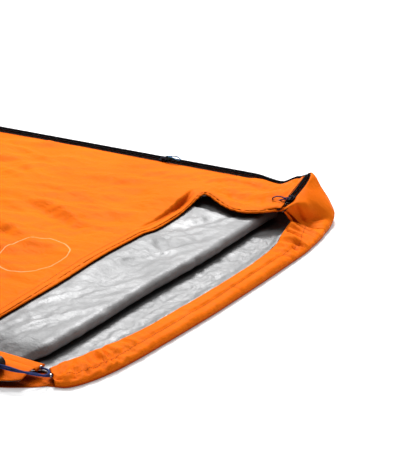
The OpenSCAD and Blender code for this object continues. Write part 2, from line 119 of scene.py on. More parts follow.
def catmull(points, counts):
    """A smooth curve, or a row of curves, through the points on axis 0, with counts samples to each span."""
    p = np.array(points, float)
    last = len(p) - 1
    counts = [counts] * last if np.isscalar(counts) else counts
    out = []
    for i in range(last):
        p0, p1, p2, p3 = p[max(i - 1, 0)], p[i], p[i + 1], p[min(i + 2, last)]
        for k in range(counts[i]):
            t = k / counts[i]
            out.append(0.5 * (2 * p1 + (p2 - p0) * t + (2 * p0 - 5 * p1 + 4 * p2 - p3) * t**2
                              + (3 * p1 - p0 - 3 * p2 + p3) * t**3))
    out.append(p[last])
    return np.array(out)


def lengths(points):
    """Distance along a line of points, at each of them."""
    return np.concatenate([[0], np.cumsum(np.linalg.norm(np.diff(points, axis=0), axis=1))])


def at_distances(points, where):
    """Points on a line at the given distances along it."""
    s = lengths(points)
    return np.stack([np.interp(where, s, points[:, k]) for k in range(points.shape[1])], -1)


def spaced(points, step):
    """The line again, with points a step apart."""
    total = lengths(points)[-1]
    return at_distances(points, np.linspace(0, total, max(2, int(round(total / step)) + 1)))


def lattice(ix, iy, seed):
    """A fixed scatter of numbers from 0 to 1 on a lattice."""
    h = (ix.astype(np.int64) * 374761393 + iy.astype(np.int64) * 668265263 + seed * 1442695041) & 0xFFFFFFFF
    h = ((h ^ (h >> 13)) * 1274126177) & 0xFFFFFFFF
    return ((h ^ (h >> 16)) & 0xFFFFFFFF) / 4294967296.0


def noise(x, y, size, seed):
    """Gradient noise from about -1 to 1, with features of that size."""
    x, y = np.broadcast_arrays(np.asarray(x, float) / size, np.asarray(y, float) / size)
    ix, iy = np.floor(x), np.floor(y)
    fx, fy = x - ix, y - iy
    total = 0.0
    for dx in (0, 1):
        for dy in (0, 1):
            turn = 2 * np.pi * lattice(ix + dx, iy + dy, seed)
            slope = np.cos(turn) * (fx - dx) + np.sin(turn) * (fy - dy)
            wx, wy = 1 - np.abs(fx - dx), 1 - np.abs(fy - dy)
            total = total + slope * wx**3 * (wx * (6 * wx - 15) + 10) * wy**3 * (wy * (6 * wy - 15) + 10)
    return 1.6 * total


def creases(x, y, size, seed):
    """Sharp-crested ridges from about -1 to 1, as in crumpled film."""
    bend_x = x + 0.35 * size * noise(x, y, size * 1.7, seed + 50)
    bend_y = y + 0.35 * size * noise(x, y, size * 1.7, seed + 51)
    return 1 - 2.6 * np.abs(noise(bend_x, bend_y, size, seed))


def turned(x, y, degrees):
    """The same point in axes that are turned by so many degrees."""
    c, s = math.cos(math.radians(degrees)), math.sin(math.radians(degrees))
    return c * x + s * y, -s * x + c * y


def row_normals(grid):
    """The unit normal at each point of a grid: the way down its rows crossed with the way along them."""
    along = np.gradient(grid, axis=0)
    across = np.gradient(grid, axis=1)
    n = np.cross(along, across)
    return n / np.maximum(np.linalg.norm(n, axis=-1, keepdims=True), 1e-9)


# ---- Mesh builders ----


def new_object(name, vertices_mm, faces, uv=None):
    """A mesh object, shaded smooth. uv is one pair for each vertex, in metres along the cloth."""
    mesh = bpy.data.meshes.new(name)
    mesh.from_pydata((np.asarray(vertices_mm) * MM).tolist(), [], [list(map(int, f)) for f in faces])
    mesh.polygons.foreach_set("use_smooth", [True] * len(mesh.polygons))
    if uv is not None:
        corner = np.zeros(len(mesh.loops), np.int32)
        mesh.loops.foreach_get("vertex_index", corner)
        layer = mesh.uv_layers.new(name="cloth")
        layer.data.foreach_set("uv", (np.asarray(uv)[corner]).astype(np.float32).ravel())
    mesh.update()
    thing = bpy.data.objects.new(name, mesh)
    bpy.context.scene.collection.objects.link(thing)
    return thing


def grid_faces(rows, columns, keep=None, closed=False, base=0):
    """Quads of a grid, with cells left out where keep is False. closed joins the last column to the first."""
    i, j = np.meshgrid(np.arange(rows - 1), np.arange(columns if closed else columns - 1), indexing="ij")
    if keep is not None:
        i, j = i[keep], j[keep]
    i, j = i.ravel(), j.ravel()
    q = (j + 1) % columns
    here, below = base + i * columns, base + (i + 1) * columns
    return np.stack([here + j, below + j, below + q, here + q], -1)


def cloth_uv(grid):
    """Distances along the rows and columns of a grid, in metres."""
    u = np.zeros(grid.shape[:2])
    v = np.zeros(grid.shape[:2])
    u[1:] = np.cumsum(np.linalg.norm(np.diff(grid, axis=0), axis=-1), axis=0)
    v[:, 1:] = np.cumsum(np.linalg.norm(np.diff(grid, axis=1), axis=-1), axis=1)
    u = np.broadcast_to(u[:, [u.shape[1] // 2]], u.shape)
    v = np.broadcast_to(v[[v.shape[0] // 2]], v.shape)
    return np.stack([u, v], -1).reshape(-1, 2) * MM


def cloth_object(name, grid, keep=None, thick=0.5, flip=False):
    """A sheet of cloth from a grid of points, given its thickness below the grid."""
    faces = grid_faces(*grid.shape[:2], keep)
    if flip:
        faces = faces[:, ::-1]
    thing = new_object(name, grid.reshape(-1, 3), faces, cloth_uv(grid))
    solid = thing.modifiers.new("thickness", "SOLIDIFY")
    solid.thickness, solid.offset = thick * MM, -1
    return thing


def path_frames(path):
    """The level side direction and the upright one at each point of a path."""
    along = np.gradient(path, axis=0)
    side = np.cross([0, 0, 1.0], along)
    side /= np.maximum(np.linalg.norm(side, axis=1, keepdims=True), 1e-9)
    up = np.cross(along, side)
    up /= np.linalg.norm(up, axis=1, keepdims=True)
    return side, up


def swept(path, sections, rolls=None):
    """Rings of points: each section's (side, up) pairs carried along the path, leaned by rolls in degrees."""
    side, up = path_frames(path)
    sections = np.broadcast_to(np.asarray(sections, float), (len(path),) + np.shape(sections)[-2:])
    a, b = sections[..., 0], sections[..., 1]
    if rolls is not None:
        c, s = np.cos(np.radians(rolls))[:, None], np.sin(np.radians(rolls))[:, None]
        a, b = a * c - b * s, a * s + b * c
    return path[:, None] + side[:, None] * a[..., None] + up[:, None] * b[..., None]


def tube_object(name, rings, uv=True):
    """A closed tube from rings of points, with a flat cap at each end."""
    rows, columns = rings.shape[:2]
    faces = [list(f) for f in grid_faces(rows, columns, closed=True)]
    faces.append(list(range(columns)))
    faces.append([(rows - 1) * columns + k for k in reversed(range(columns))])
    return new_object(name, rings.reshape(-1, 3), faces, cloth_uv(rings) if uv else None)


def joined(name, chunks):
    """One object from several (rings, closed) grids."""
    vertices, faces, uvs, base = [], [], [], 0
    for rings, closed in chunks:
        rows, columns = rings.shape[:2]
        faces.extend(grid_faces(rows, columns, closed=closed, base=base).tolist())
        if closed:
            faces.append([base + k for k in range(columns)])
            faces.append([base + (rows - 1) * columns + k for k in reversed(range(columns))])
        vertices.append(rings.reshape(-1, 3))
        uvs.append(cloth_uv(rings))
        base += rows * columns
    return new_object(name, np.concatenate(vertices), faces, np.concatenate(uvs))


def ride(thing, material, body=SACK, replaces=()):
    """Gives a piece its material, its body and the CAD nodes that it stands for."""
    thing.data.materials.clear()
    thing.data.materials.append(material)
    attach(thing, body)
    if replaces:
        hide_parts(*replaces)
    return thing


# ---- Materials ----


class Surface:
    """A Principled material that is built up node by node."""

    def __init__(self, name, colour, roughness, metallic=0.0, **more):
        self.material = bpy.data.materials.new(name)
        self.material.use_nodes = True
        self.tree = self.material.node_tree
        self.bsdf = self.tree.nodes["Principled BSDF"]
        self.output = self.tree.nodes["Material Output"]
        self.put(self.bsdf, "Base Color", (*colour, 1))
        self.put(self.bsdf, "Roughness", roughness)
        self.put(self.bsdf, "Metallic", metallic)
        for key, value in more.items():
            self.put(self.bsdf, key.replace("_", " "), value)
        self.normal = None
        self.material.diffuse_color = (*colour, 1)

    def put(self, node, key, value):
        if isinstance(value, bpy.types.NodeSocket):
            self.tree.links.new(value, node.inputs[key])
        else:
            node.inputs[key].default_value = value

    def add(self, kind, out=0, inputs=(), **settings):
        node = self.tree.nodes.new("ShaderNode" + kind)
        for key, value in settings.items():
            setattr(node, key, value)
        for key, value in dict(inputs).items():
            self.put(node, key, value)
        return node.outputs[out]

    def place(self, stretch=(1, 1, 1), turn=(0, 0, 0), source="Object"):
        where = self.add("TexCoord", source)
        return self.add("Mapping", 0, {"Vector": where, "Scale": stretch, "Rotation": turn})

    def cloth(self):
        """How far a point lies along the cloth and across it, in metres."""
        along = self.add("SeparateXYZ", 0, {"Vector": self.add("TexCoord", "UV")})
        return along, along.node.outputs[1]

    def ripple(self, value, pace):
        return self.math("SINE", self.math("MULTIPLY", value, pace))

    def sheltered(self, reach, shut, clear, shade, tone):
        """The tone, turning to shade where surfaces within reach close it in."""
        open_sky = self.add("AmbientOcclusion", 1, {"Distance": reach}, samples=8)
        self.colour(self.blend(self.span(open_sky, shut, clear), shade, tone))

    def noise(self, where, scale, detail=3, rough=0.55, distortion=0.0):
        return self.add("TexNoise", "Fac", {"Vector": where, "Scale": scale, "Detail": detail,
                                            "Roughness": rough, "Distortion": distortion})

    def math(self, operation, a, b=0.0, c=0.0):
        return self.add("Math", 0, {0: a, 1: b, 2: c}, operation=operation)

    def span(self, value, low, high, to_low=0.0, to_high=1.0):
        return self.add("MapRange", 0, {"Value": value, "From Min": low, "From Max": high,
                                        "To Min": to_low, "To Max": to_high})

    def lines(self, axis_value, pitch, width):
        """1 on evenly spaced lines and 0 between them."""
        off = self.math("PINGPONG", axis_value, pitch / 2)
        return self.span(off, width / 2, width, 1.0, 0.0)

    def blend(self, share, a, b):
        """Colour a at share 0 and b at share 1. The numbers are a Mix node's colour sockets."""
        node = self.tree.nodes.new("ShaderNodeMix")
        node.data_type = "RGBA"
        self.put(node, 0, share)
        self.put(node, 6, (*a, 1) if isinstance(a, tuple) else a)
        self.put(node, 7, (*b, 1) if isinstance(b, tuple) else b)
        return node.outputs[2]

    def bump(self, height, distance, strength=1.0):
        inputs = {"Height": height, "Distance": distance, "Strength": strength}
        if self.normal is not None:
            inputs["Normal"] = self.normal
        self.normal = self.add("Bump", 0, inputs)
        self.put(self.bsdf, "Normal", self.normal)

    def colour(self, value):
        self.put(self.bsdf, "Base Color", value)

    def roughness(self, value):
        self.put(self.bsdf, "Roughness", value)

    def let_light_through(self, colour, share):
        glow = self.add("BsdfTranslucent", 0, {"Color": (*colour, 1)})
        both = self.add("MixShader", 0, {0: share, 1: self.bsdf.outputs[0], 2: glow})
        self.put(self.output, "Surface", both)


ORANGE = (0.93, 0.188, 0.007)
ORANGE_DEEP = (0.84, 0.128, 0.004)
ORANGE_SHADE = (0.42, 0.050, 0.001)  # deep in a fold
RING_PALE = (1.0, 0.50, 0.22)
RIP_PITCH, RIP_WIDTH = 0.005, 0.0005  # the heavier threads' grid, in metres
WEAVE_PACE, TWILL_PACE, BRAID_PACE = 9000, 7000, 5200  # radians of ripple in a metre


def shell_fabric(name, ring=False):
    """Thin coated ripstop: a faint square grid, soft crumples, slight unevenness of colour."""
    s = Surface(name, ORANGE, 0.5, 0.0, Specular_IOR_Level=0.012)
    u, v = s.cloth()
    rip = s.math("MAXIMUM", s.lines(u, RIP_PITCH, RIP_WIDTH), s.lines(v, RIP_PITCH, RIP_WIDTH))
    weave = s.math("ADD", s.ripple(u, WEAVE_PACE), s.ripple(v, WEAVE_PACE))
    cloudy = s.noise(s.place(), 9, 4)
    fine = s.noise(s.place(), 260, 3)
    tone = s.blend(s.span(cloudy, 0.3, 0.7, 0.0, 0.55), ORANGE, ORANGE_DEEP)
    tone = s.blend(s.math("MULTIPLY", rip, 0.10), tone, ORANGE_DEEP)
    tone = s.blend(s.span(fine, 0.35, 0.75, 0.0, 0.10), tone, ORANGE_DEEP)
    if ring:
        tone = s.blend(ring_mask(s), tone, RING_PALE)
    s.sheltered(0.022, 0.42, 0.86, ORANGE_SHADE, tone)
    s.roughness(s.span(fine, 0.3, 0.7, 0.44, 0.56))
    s.bump(s.noise(s.place((1, 1.5, 1)), 42, 4, 0.6, 0.8), 0.0034, 0.6)
    s.bump(s.noise(s.place((1, 1, 1)), 190, 3, 0.6, 0.4), 0.0005, 0.5)
    s.bump(rip, 0.00006, 0.6)
    s.bump(weave, 0.00001, 0.5)
    s.let_light_through(ORANGE, 0.03)
    return s.material


RING_CENTRE = (0.777, -0.075)  # metres, on the top panel
RING_RADII = (0.048, 0.062)
RING_WIDTH = 0.0011


def ring_mask(s):
    """A plain thin oval outline printed on the panel."""
    where = s.add("SeparateXYZ", 0, {"Vector": s.add("TexCoord", "Object")})
    x = s.math("DIVIDE", s.math("SUBTRACT", where, RING_CENTRE[0]), RING_RADII[0])
    y = s.math("DIVIDE", s.math("SUBTRACT", where.node.outputs[1], RING_CENTRE[1]), RING_RADII[1])
    reach = s.math("SQRT", s.math("ADD", s.math("MULTIPLY", x, x), s.math("MULTIPLY", y, y)))
    off = s.math("ABSOLUTE", s.math("SUBTRACT", reach, 1.0))
    half = RING_WIDTH / 2 / RING_RADII[0]
    return s.span(off, half, half * 1.5, 0.85, 0.0)


FILM = (0.32, 0.32, 0.323)
FILM_DULL = (0.17, 0.17, 0.172)
FILM_SHADE = (0.05, 0.05, 0.051)


def mirror_film(name):
    """Aluminised film bonded to cloth: fine crinkles, dull and bright patches."""
    s = Surface(name, FILM, 0.5, 0.3, Specular_IOR_Level=0.1)
    patch = s.noise(s.place(), 14, 4, 0.6)
    grain = s.noise(s.place(), 420, 2)
    tone = s.blend(s.span(patch, 0.3, 0.7, 0.0, 0.5), FILM, FILM_DULL)
    s.sheltered(0.017, 0.08, 0.75, FILM_SHADE, tone)
    s.roughness(s.math("ADD", s.span(patch, 0.3, 0.7, 0.42, 0.56), s.span(grain, 0.3, 0.7, 0.0, 0.06)))
    s.bump(s.noise(s.place((1, 2.4, 1), (0, 0, 0.6)), 26, 4, 0.55, 0.5), 0.0034, 0.5)
    s.bump(s.noise(s.place((1, 1.6, 1)), 120, 4, 0.65, 1.0), 0.0011, 0.55)
    s.bump(s.noise(s.place(), 420, 2), 0.0002, 0.5)
    return s.material


def woven_tape(name):
    """Dense black twill tape."""
    s = Surface(name, (0.004, 0.004, 0.005), 0.85, 0.0, Specular_IOR_Level=0.03)
    twill = s.ripple(s.math("ADD", *s.cloth()), TWILL_PACE)
    fuzz = s.noise(s.place(), 900, 2)
    s.colour(s.blend(s.span(fuzz, 0.35, 0.8), (0.003, 0.003, 0.0035), (0.010, 0.010, 0.011)))
    s.bump(twill, 0.00008, 0.7)
    s.bump(fuzz, 0.0001, 0.4)
    return s.material


def nylon(name, dark=(0.006, 0.006, 0.007), pale=(0.018, 0.018, 0.020), rough=0.45):
    """Moulded or extruded nylon, a little scuffed."""
    s = Surface(name, dark, rough, 0.0, Specular_IOR_Level=0.12)
    scuff = s.noise(s.place(), 700, 3, 0.6)
    s.colour(s.blend(s.span(scuff, 0.45, 0.8), dark, pale))
    s.roughness(s.span(scuff, 0.3, 0.8, rough - 0.06, rough + 0.14))
    s.bump(scuff, 0.00003, 0.4)
    return s.material


def metal(name, colour, rough, worn, metallic=0.85, shine=0.12):
    """Painted or bare metal, with its edges rubbed brighter."""
    s = Surface(name, colour, rough, metallic, Specular_IOR_Level=shine)
    edge = s.add("NewGeometry", "Pointiness")
    cloud = s.noise(s.place(), 500, 3, 0.6)
    rubbed = s.math("MULTIPLY", s.span(edge, 0.52, 0.60), s.span(cloud, 0.35, 0.6))
    s.colour(s.blend(rubbed, colour, worn))
    s.roughness(s.span(cloud, 0.3, 0.7, rough - 0.07, rough + 0.1))
    s.bump(s.noise(s.place((1, 1, 4)), 1500, 2), 0.00002, 0.5)
    return s.material


def braid(name, colour, fleck):
    """Braided cord: crossing strands, with a paler fleck in some of them."""
    s = Surface(name, colour, 0.72, 0.0, Specular_IOR_Level=0.08)
    where = s.place((1, 1, 1))
    parts = s.add("SeparateXYZ", 0, {"Vector": where})
    x, y, z = parts, parts.node.outputs[1], parts.node.outputs[2]
    one = s.ripple(s.math("ADD", s.math("ADD", x, y), z), BRAID_PACE)
    two = s.ripple(s.math("SUBTRACT", s.math("SUBTRACT", x, y), z), BRAID_PACE)
    strands = s.math("MAXIMUM", one, two)
    patch = s.noise(where, 900, 2)
    tone = s.blend(s.span(strands, -0.2, 1.0, 0.0, 0.7), colour, fleck)
    s.colour(s.blend(s.span(patch, 0.45, 0.7, 0.0, 0.5), tone, fleck))
    s.bump(strands, 0.00012, 0.8)
    return s.material


FLOOR_GLOW = 0.26  # the pale floor's own light, which keeps it near white


def floor_paper(name):
    """Plain pale paper."""
    s = Surface(name, (0.82, 0.82, 0.82), 0.85, 0.0, Specular_IOR_Level=0.1)
    s.colour(s.blend(s.span(s.noise(s.place(), 2.5, 3), 0.3, 0.7), (0.82, 0.82, 0.82), (0.80, 0.80, 0.805)))
    s.put(s.bsdf, "Emission Color", (1, 1, 1, 1))
    s.put(s.bsdf, "Emission Strength", FLOOR_GLOW)
    return s.material


fabric = shell_fabric("shell_orange")
fabric_printed = shell_fabric("shell_orange_printed", ring=True)
film = mirror_film("film_silver")
tape_black = woven_tape("zip_black")
coil_black = nylon("coil_black")
thread = nylon("thread_orange", (0.72, 0.13, 0.01), (0.9, 0.24, 0.04), 0.6)
slider_metal = metal("slider_metal", (0.010, 0.011, 0.018), 0.6, (0.028, 0.030, 0.045), 0.0, 0.02)
stop_metal = metal("stop_metal", (0.035, 0.034, 0.034), 0.5, (0.10, 0.10, 0.10), 0.3)
eyelet_metal = metal("eyelet_metal", (0.30, 0.30, 0.31), 0.28, (0.7, 0.7, 0.7))
spring_metal = metal("spring_steel", (0.5, 0.5, 0.5), 0.25, (0.8, 0.8, 0.8))
cord_navy = braid("cord_navy", (0.012, 0.020, 0.085), (0.045, 0.075, 0.24))
cord_blue = braid("cord_blue", (0.020, 0.14, 0.40), (0.06, 0.30, 0.62))
lock_plastic = nylon("lock_plastic", (0.014, 0.014, 0.015), (0.05, 0.05, 0.052), 0.42)
lock_button = nylon("lock_button", (0.030, 0.030, 0.033), (0.08, 0.08, 0.083), 0.38)

# ---- Cords ----

ZIP_ROLL = 25  # degrees, the zip's lean along the side
ZIP_Y = HALF_W - 15
ZIP_FOOT_X = FOOT_X + 735
SIDE_H = 42  # the zip's height along the side
CORNER_R = 26  # its turn over the head corner, seen from above
# Its straight leg from the raised corner down to the mouth
LEG_TOP = np.array([HEAD_X - 71, ZIP_Y - CORNER_R, SIDE_H + 21.0])
LEG_END = np.array([HEAD_X - 67, ZIP_Y - 118, SIDE_H - 3.0])
LEG = LEG_END - LEG_TOP
LEG_LEN = np.linalg.norm(LEG)
CORNER_X = LEG_TOP[0] - CORNER_R
HEAD_SLIDER_AT = 60  # along the leg, as is the next
HEAD_STOP_AT = 71.5
FOOT_SLIDER_X = HEAD_X - 358

leg_x = LEG / LEG_LEN
leg_y = np.cross([0, 0, 1], leg_x) / np.linalg.norm(np.cross([0, 0, 1], leg_x))
leg_up = np.cross(leg_x, leg_y)


def on_head_slider(p):
    """A point given from the head slider, along the leg, across it and off it."""
    return LEG_TOP + leg_x * (HEAD_SLIDER_AT + p[0]) + leg_y * p[1] + leg_up * p[2]


def on_foot_slider(p):
    """A point given from the foot slider, along the zip, across it and off it."""
    c, s = math.cos(math.radians(ZIP_ROLL)), math.sin(math.radians(ZIP_ROLL))
    return np.array([FOOT_SLIDER_X + p[0], ZIP_Y + p[1] * c - p[2] * s, SIDE_H + p[1] * s + p[2] * c])


# The pull cords' loops, each from its slider
HEAD_CORD = [
    (8.6, -8.3, 6.1), (8.6, -11.3, 7.2), (8.7, -15.4, 7.6), (8.9, -19.5, 6.9), (9, -23.6, 5.2),
    (9, -26.9, 3), (8.9, -28.4, 0.9), (8.8, -26.9, -0.9), (8.7, -23.6, -1.2), (8.6, -19.5, -0.8),
    (8.6, -15.4, 0.6), (8.6, -11.3, 2.5), (8.6, -8.3, 3.9)]
FOOT_CORD = [
    (16, 1.1, 10.2), (19.5, 1.6, 11), (23.5, 2.6, 10.9), (27.5, 3.2, 10), (31, 3, 8.8),
    (34, 1.9, 7.8), (35, 0, 7.5), (34, -1.9, 7.8), (31, -3, 8.8), (27.5, -3.2, 10),
    (23.5, -2.6, 10.9), (19.5, -1.6, 11), (16, -1.1, 10.2)]
# The drawcord's two strands, from the ends of their channels through the lock to the tails
UPPER_STRAND = [
    (984, -341.2, 14), (996, -342, 14), (1004, -349, 14.5), (1006, -360, 16), (998, -371, 19.5),
    (982, -378, 23), (966, -380, 25.1), (950, -380, 25.1), (930, -380, 25.1), (920, -379, 23),
    (912, -377, 19.5)]
RIM_STRAND = [
    (1006, -345, 9.4), (1002.6, -348.7, 9.4), (998.5, -354.5, 11.3), (993, -361.5, 15.5),
    (986, -370, 19), (977, -377, 21), (966, -380, 21.9), (950, -380, 21.9), (930, -380, 21.9),
    (918, -384, 19), (908, -388, 15.5)]


def cord_object(name, points_mm, diameter_mm, material, body, nodes):
    """A limp cord along a smooth line through the points."""
    line = catmull(points_mm, 8)
    data = bpy.data.curves.new(name, "CURVE")
    data.dimensions, data.bevel_depth = "3D", diameter_mm * MM / 2
    data.bevel_resolution, data.use_fill_caps = 3, True
    spline = data.splines.new("POLY")
    spline.points.add(len(line) - 1)
    spline.points.foreach_set("co", np.c_[line * MM, np.ones(len(line))].ravel())
    spline.use_smooth = True
    thing = bpy.data.objects.new(name, data)
    bpy.context.scene.collection.objects.link(thing)
    ride(thing, material, body, nodes)


PULL_D, DRAWCORD_D = 1.8, 2.8
cord_object("head_pull_loop", [on_head_slider(p) for p in HEAD_CORD], PULL_D, cord_navy,
            "head_pull", ["head_pull_cord"])
cord_object("foot_pull_loop", [on_foot_slider(p) for p in FOOT_CORD], PULL_D, cord_blue,
            "foot_pull", ["foot_pull_cord"])
cord_object("drawcord_upper_strand", UPPER_STRAND, DRAWCORD_D, cord_navy,
            SACK, ["drawcord"])
cord_object("drawcord_rim_strand", RIM_STRAND, DRAWCORD_D, cord_navy,
            SACK, ["drawcord"])

# ---- Heights and outlines ----

EDGE = 6.2  # from the zip's middle to the top panel's edge, which lies on the tape
EDGE_LIFT = 0.7  # that edge, above the tape
CLOSED_EDGE = 3.4  # the same distance where the panel closes over the zip
SIDE_EDGE = 1.6  # the same where it laps over the zip, next to the head corner
WIDE_EDGE = 7.6  # the same over the head corner
# The outline's corners at the head's closed side, at its zipped side and at the foot
LEFT_RADIUS, RIGHT_RADIUS, FOOT_RADIUS = 170, 80, 40
TAPE_IN, TAPE_OUT, TAPE_T = 3.5, 8.6, 0.7  # the zip's tapes, from its middle
NARROW_TAPE = 6.3  # their outer edge on the wall's side of the head leg


def zip_side_z(x):
    """The zip's height along the side: level, with a dip just before the raised corner."""
    return SIDE_H - 5.5 * smooth((x - HEAD_X + 185) / 50) + 15.5 * smooth((x - HEAD_X + 135) / 38)


def corner_z(degrees):
    """The zip's height round the head corner."""
    a = np.radians(degrees)
    return SIDE_H + 10 + 11 * np.sin(a) + 5 * np.sin(2 * a)


def foot_rise(x):
    """0 at the foot end, where the sack lies flat, and 1 once it stands at its full height."""
    return smooth((x - FOOT_X) / 170)


def left_rise(y):
    """The same across the sack, from its closed side."""
    return smooth((y + HALF_W) / 110)


def half_outline(x, head_radius):
    """How far the floor's edge lies from the middle, where its corners have these radii."""
    head = np.clip(x - HEAD_X + head_radius, 0, head_radius * 0.999)
    foot = np.clip(FOOT_X + FOOT_RADIUS - x, 0, FOOT_RADIUS * 0.999)
    cut = head_radius - np.sqrt(head_radius**2 - head**2) + FOOT_RADIUS - np.sqrt(FOOT_RADIUS**2 - foot**2)
    return HALF_W - cut


def body_z(x, y):
    """The top panel's height away from its details."""
    share = np.clip((y + HALF_W) / (HALF_W + ZIP_Y), 0, 1)
    crown = 9 * np.sin(np.pi * share) * foot_rise(x) * (1 - smooth((x - HEAD_X + 560) / 330))
    drop = 13 * smooth((x - HEAD_X + 420) / 200) * (1 - smooth((y - 120) / 140)) * left_rise(y)
    return 9 + (SIDE_H - 9) * left_rise(y) * foot_rise(x) + crown - drop


# ---- Mouth's top hem ----

# The channel's middle line, from the zip's end, along the zipped side, the far lip and the closed side
HEM_ROUTE = [
    (996, 286, 38), (984, 280, 37), (968, 265, 36.5), (950, 253, 36), (932, 251, 36),
    (914, 255, 37.5), (895, 262, 40.5), (876, 270, 44.5), (860, 269, 46), (853, 256, 44.5),
    (852, 244, 40.5), (851.5, 231, 36), (851, 217, 33), (851, 200, 31), (851.5, 165, 29.3),
    (852, 125, 29), (852, 104, 31.5), (852.5, 84, 34),
    (853, 45, 34.5), (853.5, 0, 35.5), (854.5, -50, 35), (855, -130, 31), (852, -220, 27),
    (852, -290, 24.5), (858, -325, 20.5),
    (880, -341, 17), (930, -341.5, 15.5), (985, -341.2, 14)]
hem_line = spaced(catmull(HEM_ROUTE, 14), 3.0)
hem_s = lengths(hem_line)
HEM_W, HEM_H = 19.0, 5.2
far_lip = hem_line[hem_line[:, 0] < 862]
far_lip = far_lip[np.argsort(far_lip[:, 1])]


def far_lip_z(y):
    """The middle of the far lip's channel."""
    return np.interp(y, far_lip[:, 1], far_lip[:, 2])


def lip_tilt(y):
    """The slope by which the channel lifts towards its open edge near the raised end."""
    return 0.21 * window(y, 185, 215, 235, 258)


def build_hem():
    """A gathered channel: a flattened tube whose inner edge is pulled into small scallops."""
    turns = np.linspace(0, 2 * np.pi, 21)[:-1]
    zipped = window(hem_s, 0, 12, 230, 330)  # gathered most near the zip
    scallop = noise(hem_s, 0 * hem_s, 9, 3) * mix(0.35, 1.5, zipped)
    swell = 1 + 0.22 * noise(hem_s, 0 * hem_s, 7, 4)
    sections = []
    for k in range(len(hem_s)):
        a = HEM_W / 2 * np.cos(turns)
        b = HEM_H / 2 * np.sign(np.sin(turns)) * np.abs(np.sin(turns)) ** 0.8 * swell[k]
        pucker = 0.5 * np.cos(turns * 3 + hem_s[k] * 0.55) * (0.4 + zipped[k])
        a = a + scallop[k] * (np.cos(turns) > 0) * np.cos(turns)
        sections.append(np.stack([a, b + pucker * np.sin(turns)], -1))
    tilt = np.degrees(np.arctan(lip_tilt(hem_line[:, 1]))) * (hem_line[:, 0] < 862)
    rings = swept(hem_line, np.array(sections), tilt)
    return tube_object("mouth_hem", rings)


# ---- Top panel ----

JOIN_X = 858.5  # the panel's edge on the far lip's channel
PUFF_FRONT = 839.0  # where the puffed roll behind the lip drops to the channel
MOUTH_LEFT_Y = -352.0


def side_gap(x):
    """From the zip's middle to the panel's edge along the side: closed up beyond the foot slider's reach."""
    return EDGE - (EDGE - SIDE_EDGE) * smooth((x - 872) / 36)


def cloth_lift(gap):
    """How high that edge rides over the zip: on its tape, or over its coil where the gap is closed up."""
    return EDGE_LIFT + 0.9 * smooth((EDGE - gap) / 2) + 0.5 * smooth((CLOSED_EDGE - gap) / 2)


def zip_edge_point(x):
    """The top panel's edge beside the zip's side leg."""
    slit = smooth((x - ZIP_FOOT_X + 26) / 20)
    roll = math.radians(ZIP_ROLL)
    gap = side_gap(x)
    y = ZIP_Y + mix(6.6, -gap * math.cos(roll), slit)
    on_zip = zip_side_z(x) - gap * math.sin(roll) + cloth_lift(gap)
    z = mix(9 + (SIDE_H - 7) * foot_rise(x), on_zip, slit)
    return y, z


def leg_half_gap(along):
    """From the zip's middle to the panel's edge down the head leg: widest at its top, closed at its end."""
    narrowing = (WIDE_EDGE - EDGE) * smooth((along - 8) / 22)
    return WIDE_EDGE - narrowing - (EDGE - CLOSED_EDGE) * smooth((along - 71) / 6)


def zip_arc(t):
    """The panel's edge from the side leg's end (t=0) round the corner (t=1) and down the leg (t=2)."""
    t = np.asarray(t, float)
    a = np.clip(t, 0, 1) * 90
    lean = np.radians(ZIP_ROLL * (1 - a / 90))
    down = np.clip(t - 1, 0, 1)
    gap = np.where(t <= 1, mix(SIDE_EDGE, WIDE_EDGE, smooth((a - 12) / 30)), leg_half_gap(down * LEG_LEN))
    r = CORNER_R - gap * np.cos(lean)
    x = np.where(t <= 1, CORNER_X + r * np.sin(np.radians(a)), LEG_TOP[0] + LEG[0] * down - gap)
    y = np.where(t <= 1, LEG_TOP[1] + r * np.cos(np.radians(a)), LEG_TOP[1] + LEG[1] * down)
    z = np.where(t <= 1, corner_z(a) - gap * np.sin(lean), LEG_TOP[2] + LEG[2] * down) + cloth_lift(gap)
    return np.stack([x, y, z], -1)


def coons(bottom, top, left, right):
    """A patch between four edges. bottom and top run along i, left and right along j."""
    rows, columns = len(bottom), len(left)
    u = np.linspace(0, 1, rows)[:, None, None]
    v = np.linspace(0, 1, columns)[None, :, None]
    ruled_v = (1 - v) * bottom[:, None] + v * top[:, None]
    ruled_u = (1 - u) * left[None] + u * right[None]
    corners = ((1 - u) * (1 - v) * bottom[0] + u * (1 - v) * bottom[-1]
               + (1 - u) * v * top[0] + u * v * top[-1])
    return ruled_v + ruled_u - corners


# The panel's grid: rows from the foot to the far lip and on past the mouth, columns across the sack
xs_body = np.concatenate([np.linspace(FOOT_X + 2, 470, 112), np.linspace(470, 690, 30)[1:],
                          np.linspace(690, 832, 34)[1:], np.linspace(832, 849, 14)[1:],
                          np.linspace(849, JOIN_X, 5)[1:]])
STRIP_ROWS = 44
ys_left = np.linspace(0, 1, 12)  # across the strip on the closed side
ys_mid = np.linspace(0, 1, 112)[1:]
ys_right = np.linspace(0, 1, 28)[1:]
BODY_ROWS, COLUMNS = len(xs_body), len(ys_left) + len(ys_mid) + len(ys_right)
LEFT_COLUMN, RIGHT_COLUMN = len(ys_left) - 1, len(ys_left) + len(ys_mid) - 1
HEM_CORNER_Y = 258.0  # where the far lip's channel turns along the zipped side


